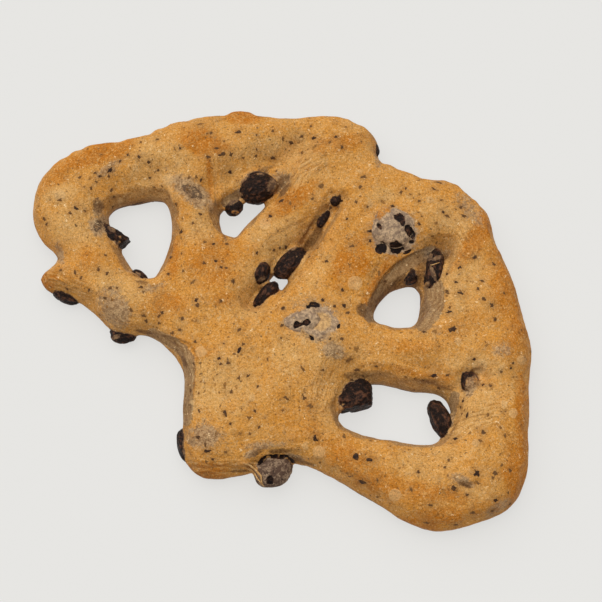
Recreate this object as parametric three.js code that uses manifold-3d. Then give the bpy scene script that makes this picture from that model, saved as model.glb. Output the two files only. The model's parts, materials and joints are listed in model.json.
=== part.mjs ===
// An olive fougasse: a flat, leaf-shaped loaf made of one piece of dough, opened by five slashes, with black
// olives baked into it. Millimetres, +Z up. The loaf lies on its flat base at z = 0, seen from above with
// its long axis along X, and the origin is the middle of its outline on that plane.
import * as THREE from "three";
import { mergeVertices } from "three/addons/utils/BufferGeometryUtils.js";
import Module from "manifold-3d";

const wasm = await Module();
wasm.setup();

// ---- Driving dimensions of the dough ----
const EQUATOR = 7.5; // height of the loaf's widest level above its base
const RISE = 15.5; // how far a broad stretch of dough stands above that level
const SHOULDER = 8; // distance from an edge over which the crust rounds up
const TUCK = 3.2; // how far a side turns in between the widest level and the base
const SIDE_BANDS = 3; // bands of faces from the widest level down to the base
const THINNEST = 4; // least height that a fold leaves above the base
const UNEVEN = 0.6; // height of the slow waves in the crust
const WAVES = [
  { along: [1, 0.6], length: 42 },
  { along: [0.8, -1], length: 36 },
]; // and the way that each runs
const CELL = 4.6; // side of the triangles that the crust is laid out in
const GAP = 0.3; // clearance between an olive and the dough around it

// ---- Outline of the loaf at its widest level, anticlockwise from the right-hand side ----
const LOAF_OUTLINE = [
  [128, -21], [125, -4], [120.5, 17], [112, 39], [108.5, 54], [97.5, 66], [92, 71], [79, 73], [64, 78.5],
  [53, 84], [53.5, 93], [48, 102], [30, 109.5], [6, 108], [-14, 111], [-21, 113.5], [-28, 111],
  [-55, 106], [-71, 98], [-110, 88.5], [-125, 73], [-128, 54], [-123, 39], [-113.5, 28.5], [-122, 18],
  [-118, 11.5], [-105, 7], [-94, -1], [-80, -13], [-67, -12], [-55.5, -20.5], [-47.5, -33], [-47, -53],
  [-46, -76], [-37, -86], [-16, -85], [0, -79], [11, -79], [26, -85.5], [45, -97], [65, -109],
  [80, -113], [98, -109], [115, -100], [121.5, -88], [124.5, -61], [126, -40],
];

// ---- The five openings, each clockwise ----
const OPENINGS = [
  // west: a rounded quarter next to the loaf's left lobe
  [[-88, 55.5], [-68, 61.5], [-61, 62], [-57, 54], [-55.5, 42], [-60, 23.5], [-66, 16], [-79.5, 29]],
  // north: narrow at its foot, widening up to the right
  [[-25.5, 37.5], [-31, 53], [-22, 62], [-8, 69], [0, 75], [2, 69], [-12.5, 52.5]],
  // slit: a long, barely open cut, widest a third of the way along
  [[-11, 4], [-8, 12], [0, 22], [12, 33], [9.5, 24.5], [4, 14.5], [-3, 7]],
  // east: a rounded triangle
  [[47.5, -4.5], [54.5, 8.5], [65, 14], [72, 13], [72.5, 3.5], [69, -8], [56, -8.5]],
  // south: the widest one
  [
    [30, -58.5], [36, -41], [49, -38], [59, -40], [68, -42.5], [76, -42.5], [83.5, -45.5], [86.5, -54],
    [79, -68.5], [57, -68], [35.5, -62.5],
  ],
];

// ---- Folds where a slash runs on into the crust, or its upper lip slopes away ----
// Each runs from one point to another, sinks that deep and fades over the given half-width.
const FOLDS = [
  { from: [1, 73], to: [9, 86], deep: 9, half: 7 },
  { from: [-31, 66], to: [-6, 79], deep: 8, half: 8 },
  { from: [-13, 3], to: [14, 35], deep: 9, half: 6 },
  { from: [-4, 24], to: [20, 46], deep: 5, half: 7 },
  { from: [15, 33], to: [31, 56], deep: 10, half: 4 },
  { from: [56, 14], to: [80, 30], deep: 9, half: 6 },
  { from: [78, 12], to: [86, 32], deep: 11, half: 5 },
  { from: [-13, 0], to: [-7, 7], deep: 4, half: 4 },
  { from: [86, -48], to: [99, -37], deep: 9.5, half: 5.5 },
  { from: [38, -36], to: [76, -36], deep: 5, half: 7 },
  { from: [26, -44], to: [31, -40], deep: 4, half: 8 },
  { from: [-86, 61], to: [-62, 68], deep: 7, half: 9 },
  { from: [-92, 50], to: [-88, 34], deep: 3, half: 7 },
  { from: [-117, 30], to: [-106, 24], deep: 6, half: 6 },
];

// ---- Swellings: over an olive under the skin, and where the dough puffed up ----
const SWELLINGS = [
  { at: [15, -12], high: 1.6, radius: 14 },
  { at: [96, 78], high: 2, radius: 16 },
  { at: [118, -20], high: 2, radius: 14 },
  { at: [-10, -40], high: 2, radius: 26 },
  { at: [105, -85], high: 2, radius: 20 },
  { at: [-48, 84], high: 2, radius: 18 },
  { at: [34, 88], high: 2, radius: 16 },
  { at: [-40, 10], high: 1.5, radius: 20 },
];

// ---- Olives: centre, half-extents along their own axes, and turns about X, Y and Z in degrees ----
// A torn one also has the cuts that its flat faces lie in, each with the way it faces and how far from the
// centre it lies.
const OLIVES = [
  {
    name: "olive_west_wall", at: [-85.5, 40, 9], half: [10.5, 8.5, 6], turn: [0, 0, -8],
    cuts: [{ facing: [0.54, 0.84, 0.1], away: 3.5 }, { facing: [0.73, -0.68, 0], away: 7 },
      { facing: [0.1, -1, 0], away: 7.5 }],
  },
  { name: "olive_west_floor", at: [-71, 17.5, 9.5], half: [5, 3, 3.4], turn: [0, 0, -35] },
  { name: "olive_west_tip", at: [-108.5, 9.5, 5], half: [7, 4.4, 3.8], turn: [0, 0, -22] },
  { name: "olive_west_edge", at: [-79, -11.5, 5], half: [6.8, 4.8, 3.8], turn: [0, 0, -18] },
  { name: "olive_north", at: [-11, 67, 11], half: [10.8, 8.6, 6.6], turn: [0, 0, 20] },
  { name: "olive_north_small", at: [-23, 56.5, 9], half: [5.4, 4, 3.8], turn: [0, 0, 35] },
  { name: "olive_slit_upper", at: [6.6, 24.4, 11.5], half: [10.8, 5.6, 5.4], turn: [0, 0, 44] },
  { name: "olive_slit_left", at: [-8.6, 18, 14], half: [5.8, 4.2, 5], turn: [0, 0, 75] },
  { name: "olive_slit_lower", at: [-5.8, 6.6, 12.5], half: [9, 3.8, 4.6], turn: [0, 0, 50] },
  { name: "olive_slit_sliver", at: [23.5, 48, 14], half: [5.4, 2.2, 2.6], turn: [0, 0, 62] },
  { name: "olive_slit_end", at: [29.5, 56.5, 18], half: [2.8, 2.6, 2.4], turn: [0, 0, 0] },
  { name: "olive_east_wall", at: [79.5, 19.8, 13.5], half: [11, 5, 5.2], turn: [0, 0, 80] },
  { name: "olive_east_ledge", at: [69, 17.5, 11], half: [5.6, 3, 3.4], turn: [0, 0, 44] },
  { name: "olive_top_dusted", at: [58.5, 40, 21.5], half: [11.8, 11.2, 5], turn: [0, 0, 20] },
  { name: "olive_top_covered", at: [12.4, -11, 21.3], half: [9.6, 6.2, 4.8], turn: [0, 0, 5] },
  {
    name: "olive_south_left", at: [38.5, -46.5, 9], half: [11, 10, 6], turn: [0, 0, 0],
    cuts: [{ facing: [1, 0, 0.1], away: 8.3 }, { facing: [0.22, -0.97, 0], away: 5.4 }],
  },
  { name: "olive_south_right", at: [81.2, -57.8, 8], half: [11, 5, 5], turn: [0, 0, -66] },
  { name: "olive_south_fold", at: [95, -40.5, 14.5], half: [6.6, 4.6, 5], turn: [0, 0, -66] },
  { name: "olive_foot", at: [-2.6, -82, 8], half: [9.8, 9.2, 7], turn: [0, 0, 0] },
  { name: "olive_corner", at: [-44, -70, 6], half: [9, 5.2, 4.6], turn: [0, 0, -72] },
  { name: "olive_notch", at: [49.5, 89.5, 9], half: [3.4, 4.4, 3.2], turn: [0, 0, 0] },
];
const OLIVE_DETAIL = 2; // subdivisions of the icosahedron that an olive is shaped from
const SMALL_OLIVE = 5.5; // one whose half-extents all stay under this gets one subdivision less
const WRINKLE = 0.05; // depth of an olive's folds, as a share of its size
const DUSTED = ["olive_top_dusted", "olive_foot"]; // those with flour on them

const COLOURS = { crust: 0xc8893f, olive: 0x2b1d1b, dusted: 0x8d7a68 };

// ================= Plan: where there is dough =================

// A closed outline through the given points, as corners about half a cell apart.
function smoothLoop(points) {
  const through = points.map(([x, y]) => new THREE.Vector3(x, y, 0));
  const curve = new THREE.CatmullRomCurve3(through, true, "centripetal");
  const steps = Math.round(curve.getLength() / (CELL / 2));
  return curve.getSpacedPoints(steps).slice(0, steps);
}

const LOOPS = [LOAF_OUTLINE, ...OPENINGS].map(smoothLoop);

// The point of the segment from a to b that is nearest to (x, y).
function nearestOnSegment(x, y, a, b) {
  const dx = b.x - a.x;
  const dy = b.y - a.y;
  const along = ((x - a.x) * dx + (y - a.y) * dy) / (dx * dx + dy * dy || 1);
  const t = THREE.MathUtils.clamp(along, 0, 1);
  return { x: a.x + t * dx, y: a.y + t * dy };
}

// The nearest point of all outlines to (x, y), and how deep in the dough (x, y) lies: below 0 is outside.
function probe(x, y) {
  let best = { depth: Infinity };
  let inside = false;
  for (const loop of LOOPS) {
    loop.forEach((a, i) => {
      const b = loop[(i + 1) % loop.length];
      const near = nearestOnSegment(x, y, a, b);
      const away = Math.hypot(x - near.x, y - near.y);
      if (away < best.depth) best = { depth: away, near };
      if (a.y > y !== b.y > y && x < a.x + ((y - a.y) / (b.y - a.y)) * (b.x - a.x)) inside = !inside;
    });
  }
  return { near: best.near, depth: inside ? best.depth : -best.depth };
}

// ================= Crust laid out in triangles =================

// A lattice of triangles over the loaf, cut off along the outlines. Corners that lie close to an outline are
// moved onto it first, so that no sliver is left.
function layOutCrust() {
  const SNAP = 0.4 * CELL;
  const rowHeight = (CELL * Math.sqrt(3)) / 2;
  const box = new THREE.Box3().setFromPoints(LOOPS[0]).expandByScalar(CELL);
  const columns = Math.ceil((box.max.x - box.min.x) / CELL) + 1;
  const rows = Math.ceil((box.max.y - box.min.y) / rowHeight) + 1;
  const corners = [];
  for (let row = 0; row < rows; row++) {
    for (let column = 0; column < columns; column++) {
      const x = box.min.x + (column + (row % 2) / 2) * CELL;
      const y = box.min.y + row * rowHeight;
      const { near, depth } = probe(x, y);
      corners.push(Math.abs(depth) < SNAP ? { ...near, depth: 0 } : { x, y, depth });
    }
  }

  // The corner where the lattice edge from dough to open air crosses the outline, shared by both its sides.
  const HALVINGS = 16;
  const crossings = new Map();
  function crossing(inner, outer) {
    const key = inner + "/" + outer;
    if (!crossings.has(key)) {
      let near = 0;
      let far = 1;
      const a = corners[inner];
      const b = corners[outer];
      const at = (t) => ({ x: a.x + t * (b.x - a.x), y: a.y + t * (b.y - a.y) });
      for (let halving = 0; halving < HALVINGS; halving++) {
        const middle = (near + far) / 2;
        const { x, y } = at(middle);
        if (probe(x, y).depth > 0) near = middle;
        else far = middle;
      }
      crossings.set(key, corners.push({ ...at(near), depth: 0 }) - 1);
    }
    return crossings.get(key);
  }

  const triangles = [];
  function addInside(triangle) {
    if (triangle.every((c) => corners[c].depth === 0)) {
      const x = triangle.reduce((sum, c) => sum + corners[c].x, 0) / 3;
      const y = triangle.reduce((sum, c) => sum + corners[c].y, 0) / 3;
      if (probe(x, y).depth > 0) triangles.push(triangle);
      return;
    }
    const kept = [];
    triangle.forEach((c, i) => {
      const next = triangle[(i + 1) % 3];
      if (corners[c].depth >= 0) kept.push(c);
      if (corners[c].depth > 0 && corners[next].depth < 0) kept.push(crossing(c, next));
      if (corners[c].depth < 0 && corners[next].depth > 0) kept.push(crossing(next, c));
    });
    if (kept.length < 3 || !kept.some((c) => corners[c].depth > 0)) return;
    for (let i = 1; i + 1 < kept.length; i++) triangles.push([kept[0], kept[i], kept[i + 1]]);
  }
  for (let row = 0; row + 1 < rows; row++) {
    for (let column = 0; column + 1 < columns; column++) {
      const a = row * columns + column;
      const above = a + columns;
      const leans = row % 2 === 1;
      addInside(leans ? [a, a + 1, above + 1] : [a, a + 1, above]);
      addInside(leans ? [a, above + 1, above] : [a + 1, above + 1, above]);
    }
  }
  const crust = withoutSpareCorners(corners, triangles);
  evenOut(crust);
  return crust;
}

// Slides the corners towards the middle of their neighbours, those on a rim along the outline only.
function evenOut({ corners, triangles }) {
  const PASSES = 16;
  const neighbours = corners.map(() => new Set());
  for (const t of triangles) {
    t.forEach((c, i) => neighbours[c].add(t[(i + 1) % 3]).add(t[(i + 2) % 3]));
  }
  for (let pass = 0; pass < PASSES; pass++) {
    corners.forEach((corner, c) => {
      const onRim = corner.depth === 0;
      const around = [...neighbours[c]].filter((other) => !onRim || corners[other].depth === 0);
      const x = around.reduce((sum, other) => sum + corners[other].x, corner.x) / (around.length + 1);
      const y = around.reduce((sum, other) => sum + corners[other].y, corner.y) / (around.length + 1);
      Object.assign(corner, onRim ? probe(x, y).near : { x, y });
    });
  }
}

function withoutSpareCorners(corners, triangles) {
  const kept = new Map();
  for (const c of triangles.flat()) if (!kept.has(c)) kept.set(c, kept.size);
  return {
    corners: [...kept.keys()].map((c) => corners[c]),
    triangles: triangles.map((triangle) => triangle.map((c) => kept.get(c))),
  };
}

// Edges of the crust with a triangle on one side only, chained into closed rings of corners.
function rimsOf(triangles) {
  const next = new Map();
  const edges = new Set(triangles.flatMap((t) => t.map((c, i) => c + "/" + t[(i + 1) % 3])));
  for (const t of triangles) {
    t.forEach((c, i) => {
      const end = t[(i + 1) % 3];
      if (!edges.has(end + "/" + c)) next.set(c, end);
    });
  }
  const rims = [];
  while (next.size) {
    const rim = [];
    let c = next.keys().next().value;
    while (next.has(c)) {
      rim.push(c);
      const end = next.get(c);
      next.delete(c);
      c = end;
    }
    rims.push(rim);
  }
  return rims;
}

// ================= How far the dough has puffed up =================

// The share of its full rise that each corner reaches, 0 on a rim and near 1 in the middle of broad dough:
// a membrane held at its rims and pushed up evenly, which settles over a distance of SHOULDER.
function puff({ corners, triangles }) {
  const LEAST_LINK = 0.01; // keeps an obtuse triangle from pushing its neighbours apart
  const links = corners.map(() => new Map());
  const areas = new Float64Array(corners.length);
  for (const t of triangles) {
    for (let i = 0; i < 3; i++) {
      const [c, p, q] = [t[i], t[(i + 1) % 3], t[(i + 2) % 3]];
      const ux = corners[p].x - corners[c].x;
      const uy = corners[p].y - corners[c].y;
      const vx = corners[q].x - corners[c].x;
      const vy = corners[q].y - corners[c].y;
      const twiceArea = Math.max(ux * vy - uy * vx, 1e-6);
      const cotangent = Math.max((ux * vx + uy * vy) / twiceArea / 2, LEAST_LINK);
      links[p].set(q, (links[p].get(q) || 0) + cotangent);
      links[q].set(p, (links[q].get(p) || 0) + cotangent);
      areas[c] += twiceArea / 6;
    }
  }
  const SWEEPS = 120;
  const share = new Float64Array(corners.length);
  for (let sweep = 0; sweep < SWEEPS; sweep++) {
    corners.forEach(({ depth }, c) => {
      if (depth === 0) return;
      const push = areas[c] / SHOULDER ** 2;
      let pull = push;
      let total = push;
      for (const [other, link] of links[c]) {
        total += link * share[other];
        pull += link;
      }
      share[c] = total / pull;
    });
  }
  return share;
}

// The share's slope at each corner, averaged over the triangles around it: it points into the dough.
function slopes({ corners, triangles }, share) {
  const slope = corners.map(() => new THREE.Vector2());
  const weight = new Float64Array(corners.length);
  for (const [a, b, c] of triangles) {
    const [A, B, C] = [corners[a], corners[b], corners[c]];
    const twiceArea = (B.x - A.x) * (C.y - A.y) - (B.y - A.y) * (C.x - A.x);
    const gx = share[a] * (B.y - C.y) + share[b] * (C.y - A.y) + share[c] * (A.y - B.y);
    const gy = share[a] * (C.x - B.x) + share[b] * (A.x - C.x) + share[c] * (B.x - A.x);
    for (const corner of [a, b, c]) {
      slope[corner].x += gx;
      slope[corner].y += gy;
      weight[corner] += twiceArea;
    }
  }
  return slope.map((s, c) => s.divideScalar(weight[c]));
}

function bell(away, reach) {
  return Math.exp(-((away / reach) ** 2));
}

// Folds, swellings and slow waves: what they add to the height at (x, y).
function relief(x, y) {
  let height = 0;
  for (const { from, to, deep, half } of FOLDS) {
    const near = nearestOnSegment(x, y, { x: from[0], y: from[1] }, { x: to[0], y: to[1] });
    height -= deep * bell(Math.hypot(x - near.x, y - near.y), half);
  }
  for (const { at, high, radius } of SWELLINGS) {
    height += high * bell(Math.hypot(x - at[0], y - at[1]), radius);
  }
  for (const { along, length } of WAVES) {
    height += UNEVEN * Math.sin((2 * Math.PI * (along[0] * x + along[1] * y)) / length);
  }
  return height;
}

// ================= The loaf as one closed surface =================

function loafSolid() {
  const crust = layOutCrust();
  const share = puff(crust);
  const inward = slopes(crust, share);
  const points = crust.corners.map(({ x, y }, c) => {
    const rise = RISE * Math.sqrt(share[c]) + share[c] * relief(x, y);
    return [x, y, Math.max(EQUATOR + rise, THINNEST)];
  });
  const faces = [...crust.triangles];

  // Each rim goes down to the base in bands that follow a quarter of an ellipse.
  const feet = rimsOf(crust.triangles).map((rim) => {
    let upper = rim;
    for (let band = 1; band <= SIDE_BANDS; band++) {
      const angle = ((Math.PI / 2) * band) / SIDE_BANDS;
      const inset = TUCK * (1 - Math.cos(angle)) * SHOULDER;
      const height = EQUATOR * (1 - Math.sin(angle));
      const lower = rim.map((c) => {
        const { x, y } = crust.corners[c];
        return points.push([x + inset * inward[c].x, y + inset * inward[c].y, height]) - 1;
      });
      rim.forEach((_, i) => {
        const j = (i + 1) % rim.length;
        faces.push([upper[j], upper[i], lower[i]], [upper[j], lower[i], lower[j]]);
      });
      upper = lower;
    }
    return upper;
  });

  // The base is flat, with the openings left out of it.
  const flat = (foot) => foot.map((c) => new THREE.Vector2(points[c][0], points[c][1]));
  const byLength = [...feet].sort((a, b) => b.length - a.length);
  const [outer, ...openings] = byLength.map(flat);
  const order = byLength.flat();
  for (const [a, b, c] of THREE.ShapeUtils.triangulateShape(outer, openings)) {
    faces.push([order[a], order[c], order[b]]);
  }
  return solidFrom(points.flat(), faces.flat());
}

// ================= Olives =================

// An olive: a wrinkled, stretched ball with its cuts. `spare` makes it that much larger all round.
function oliveSolid({ at, half, turn, cuts = [] }, spare = 0) {
  const detail = OLIVE_DETAIL - (Math.max(...half) < SMALL_OLIVE ? 1 : 0);
  const ball = new THREE.IcosahedronGeometry(1, detail);
  ball.deleteAttribute("normal");
  ball.deleteAttribute("uv");
  const shape = mergeVertices(ball);
  const position = shape.getAttribute("position");
  const point = new THREE.Vector3();
  const rotation = new THREE.Euler(...turn.map(THREE.MathUtils.degToRad));
  for (let i = 0; i < position.count; i++) {
    point.fromBufferAttribute(position, i);
    const folds = Math.sin(4 * point.x + at[0]) + Math.sin(5 * point.y - 2 * point.z + at[1]);
    point.multiplyScalar(1 + WRINKLE * folds);
    point.multiply(new THREE.Vector3(...half.map((h) => h + spare)));
    point.applyEuler(rotation).add(new THREE.Vector3(...at));
    position.setXYZ(i, point.x, point.y, point.z);
  }
  let solid = solidFrom(position.array, shape.index.array);
  for (const { facing, away } of cuts) {
    const inwards = new THREE.Vector3(...facing).normalize().negate();
    solid = solid.trimByPlane(inwards.toArray(), inwards.dot(new THREE.Vector3(...at)) - away - spare);
  }
  return solid;
}

// ================= Solids and meshes =================

function solidFrom(coordinates, corners) {
  return new wasm.Manifold(
    new wasm.Mesh({
      numProp: 3,
      vertProperties: new Float32Array(coordinates),
      triVerts: new Uint32Array(corners),
    }),
  );
}

function meshFrom(name, solid, material) {
  const { vertProperties, triVerts } = solid.getMesh();
  const geometry = new THREE.BufferGeometry();
  geometry.setAttribute("position", new THREE.BufferAttribute(vertProperties, 3));
  geometry.setIndex(new THREE.BufferAttribute(triVerts, 1));
  geometry.computeVertexNormals();
  const mesh = new THREE.Mesh(geometry, material);
  mesh.name = name;
  return mesh;
}

const crustMaterial = new THREE.MeshStandardMaterial({ color: COLOURS.crust, roughness: 0.75 });
const oliveMaterial = new THREE.MeshStandardMaterial({ color: COLOURS.olive, roughness: 0.5 });
const dustedMaterial = new THREE.MeshStandardMaterial({ color: COLOURS.dusted, roughness: 0.85 });

const fougasse = new THREE.Group();
let loaf = loafSolid();
for (const olive of OLIVES) {
  const material = DUSTED.includes(olive.name) ? dustedMaterial : oliveMaterial;
  loaf = loaf.subtract(oliveSolid(olive, GAP));
  fougasse.add(meshFrom(olive.name, oliveSolid(olive), material));
}
fougasse.add(meshFrom("loaf", loaf, crustMaterial));

export default fougasse;
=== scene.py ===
"""An olive fougasse: a flat, leaf-shaped loaf opened by five slashes, with black olives baked into it.

The crust is one fine skin over the loaf's solid, and each olive is a wrinkled skin over its own. Marks on
the crust are named by the pixel where the photograph shows them, in its 602 x 602 frame, and are cast onto
the skin, so that they lie on it from any side. Lengths are in metres unless a name or a comment says
otherwise.
"""
import json
import math
import random

import bmesh
import bpy
import numpy as np
from mathutils import Matrix, Vector, noise
from mathutils.bvhtree import BVHTree


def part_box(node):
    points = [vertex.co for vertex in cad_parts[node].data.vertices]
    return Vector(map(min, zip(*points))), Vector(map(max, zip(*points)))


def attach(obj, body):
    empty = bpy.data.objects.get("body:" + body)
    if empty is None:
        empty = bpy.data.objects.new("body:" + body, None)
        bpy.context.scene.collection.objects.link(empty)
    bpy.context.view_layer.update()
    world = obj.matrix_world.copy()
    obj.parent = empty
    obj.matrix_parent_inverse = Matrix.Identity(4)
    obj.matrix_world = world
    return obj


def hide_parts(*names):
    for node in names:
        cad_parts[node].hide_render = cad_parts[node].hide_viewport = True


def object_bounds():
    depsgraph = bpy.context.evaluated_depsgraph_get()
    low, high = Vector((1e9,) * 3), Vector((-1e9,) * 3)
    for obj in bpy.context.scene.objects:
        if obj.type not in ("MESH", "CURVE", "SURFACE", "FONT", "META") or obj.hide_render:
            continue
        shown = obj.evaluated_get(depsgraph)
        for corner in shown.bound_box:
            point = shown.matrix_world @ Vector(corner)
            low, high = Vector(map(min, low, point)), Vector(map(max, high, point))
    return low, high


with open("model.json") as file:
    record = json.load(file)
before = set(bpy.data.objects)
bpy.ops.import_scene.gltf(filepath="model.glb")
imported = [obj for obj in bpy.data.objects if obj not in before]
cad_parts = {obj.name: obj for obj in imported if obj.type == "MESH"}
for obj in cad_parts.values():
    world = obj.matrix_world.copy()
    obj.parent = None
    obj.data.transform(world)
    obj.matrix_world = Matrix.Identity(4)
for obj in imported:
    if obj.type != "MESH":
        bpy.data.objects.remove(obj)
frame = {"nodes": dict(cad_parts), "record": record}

MM = 0.001
CAD_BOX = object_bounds()
OLIVES = sorted(name for name in frame["nodes"] if name.startswith("olive_"))
OPENINGS = [opening["box_m"] for opening in frame["record"]["physics"]["openings"]]

# ---- The photograph's view ----
PHOTO_SIZE = 602  # pixels, both ways
PHOTO_MIDDLE = PHOTO_SIZE / 2
PIXEL = 0.51 * MM  # what one pixel spans where the camera looks
CAMERA_ELEVATION = math.radians(70)
CAMERA_DISTANCE = 0.75
LOOKS_AT = Vector((0.0117, 0.0052, 0.008))
SENSOR_MM = 36
VIEW_BACK = Vector((0, -math.cos(CAMERA_ELEVATION), math.sin(CAMERA_ELEVATION)))
VIEW_RIGHT = Vector((1, 0, 0))
VIEW_UP = VIEW_BACK.cross(VIEW_RIGHT)
CAMERA_AT = LOOKS_AT + CAMERA_DISTANCE * VIEW_BACK
FACING = (-0.05, 0.25)  # cosines at which a surface starts to face the camera, and faces it fully

# ---- The crust's skin ----
CRUST_CELL = 0.95 * MM  # side of the cells that the crust is made of
BASE_RIM = 2  # rows of such cells along the base's edge; inside them the flat base has larger ones
BASE_LEFT = 0.06  # share of the cells that stays there
OLIVE_BEDDING = 0.45 * MM  # how far an olive is grown to close the gap between it and the dough
EASING = 60  # rounds that ease the solid's facets
BASE_BAND = 0.2 * MM  # what lies lower than this is the flat base
SINK = 1.5 * MM  # how far the dough's skin drops below an olive's surface where the olive shows
SINK_FROM = 1.0 * MM  # distance from the olive at which it starts to drop
SINK_WHOLE = OLIVE_BEDDING + 0.15 * MM  # distance at which it has dropped all the way
SINK_RAGGED = 0.16 * MM  # how much that distance wanders
CREASE_ENDS = (0.04, 0.96)  # shares of a crease's length beyond which it fades no further
STEP_SHARPNESS = 3
STEP_GAIN = 1.8  # brings a step's highest point to the height in its row
CREST_PASSES = 70  # how broadly the crust is smoothed to see what stands out of it
WALL_REACH = (9 * MM, 17 * MM)  # up to how far from an opening its walls get their colour and painted shade fully, and at all
STAIN_REACH = 0.8 * MM  # how far the dough is stained round an olive
LOW_BAND = 7 * MM  # height up to which steep faces near the base are darkened, as painted shade
LUMPS = [(0.6 * MM, 24 * MM), (0.45 * MM, 11 * MM), (0.2 * MM, 5.5 * MM), (0.12 * MM, 2.8 * MM)]
# each: height, and distance from one lump to the next

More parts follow.
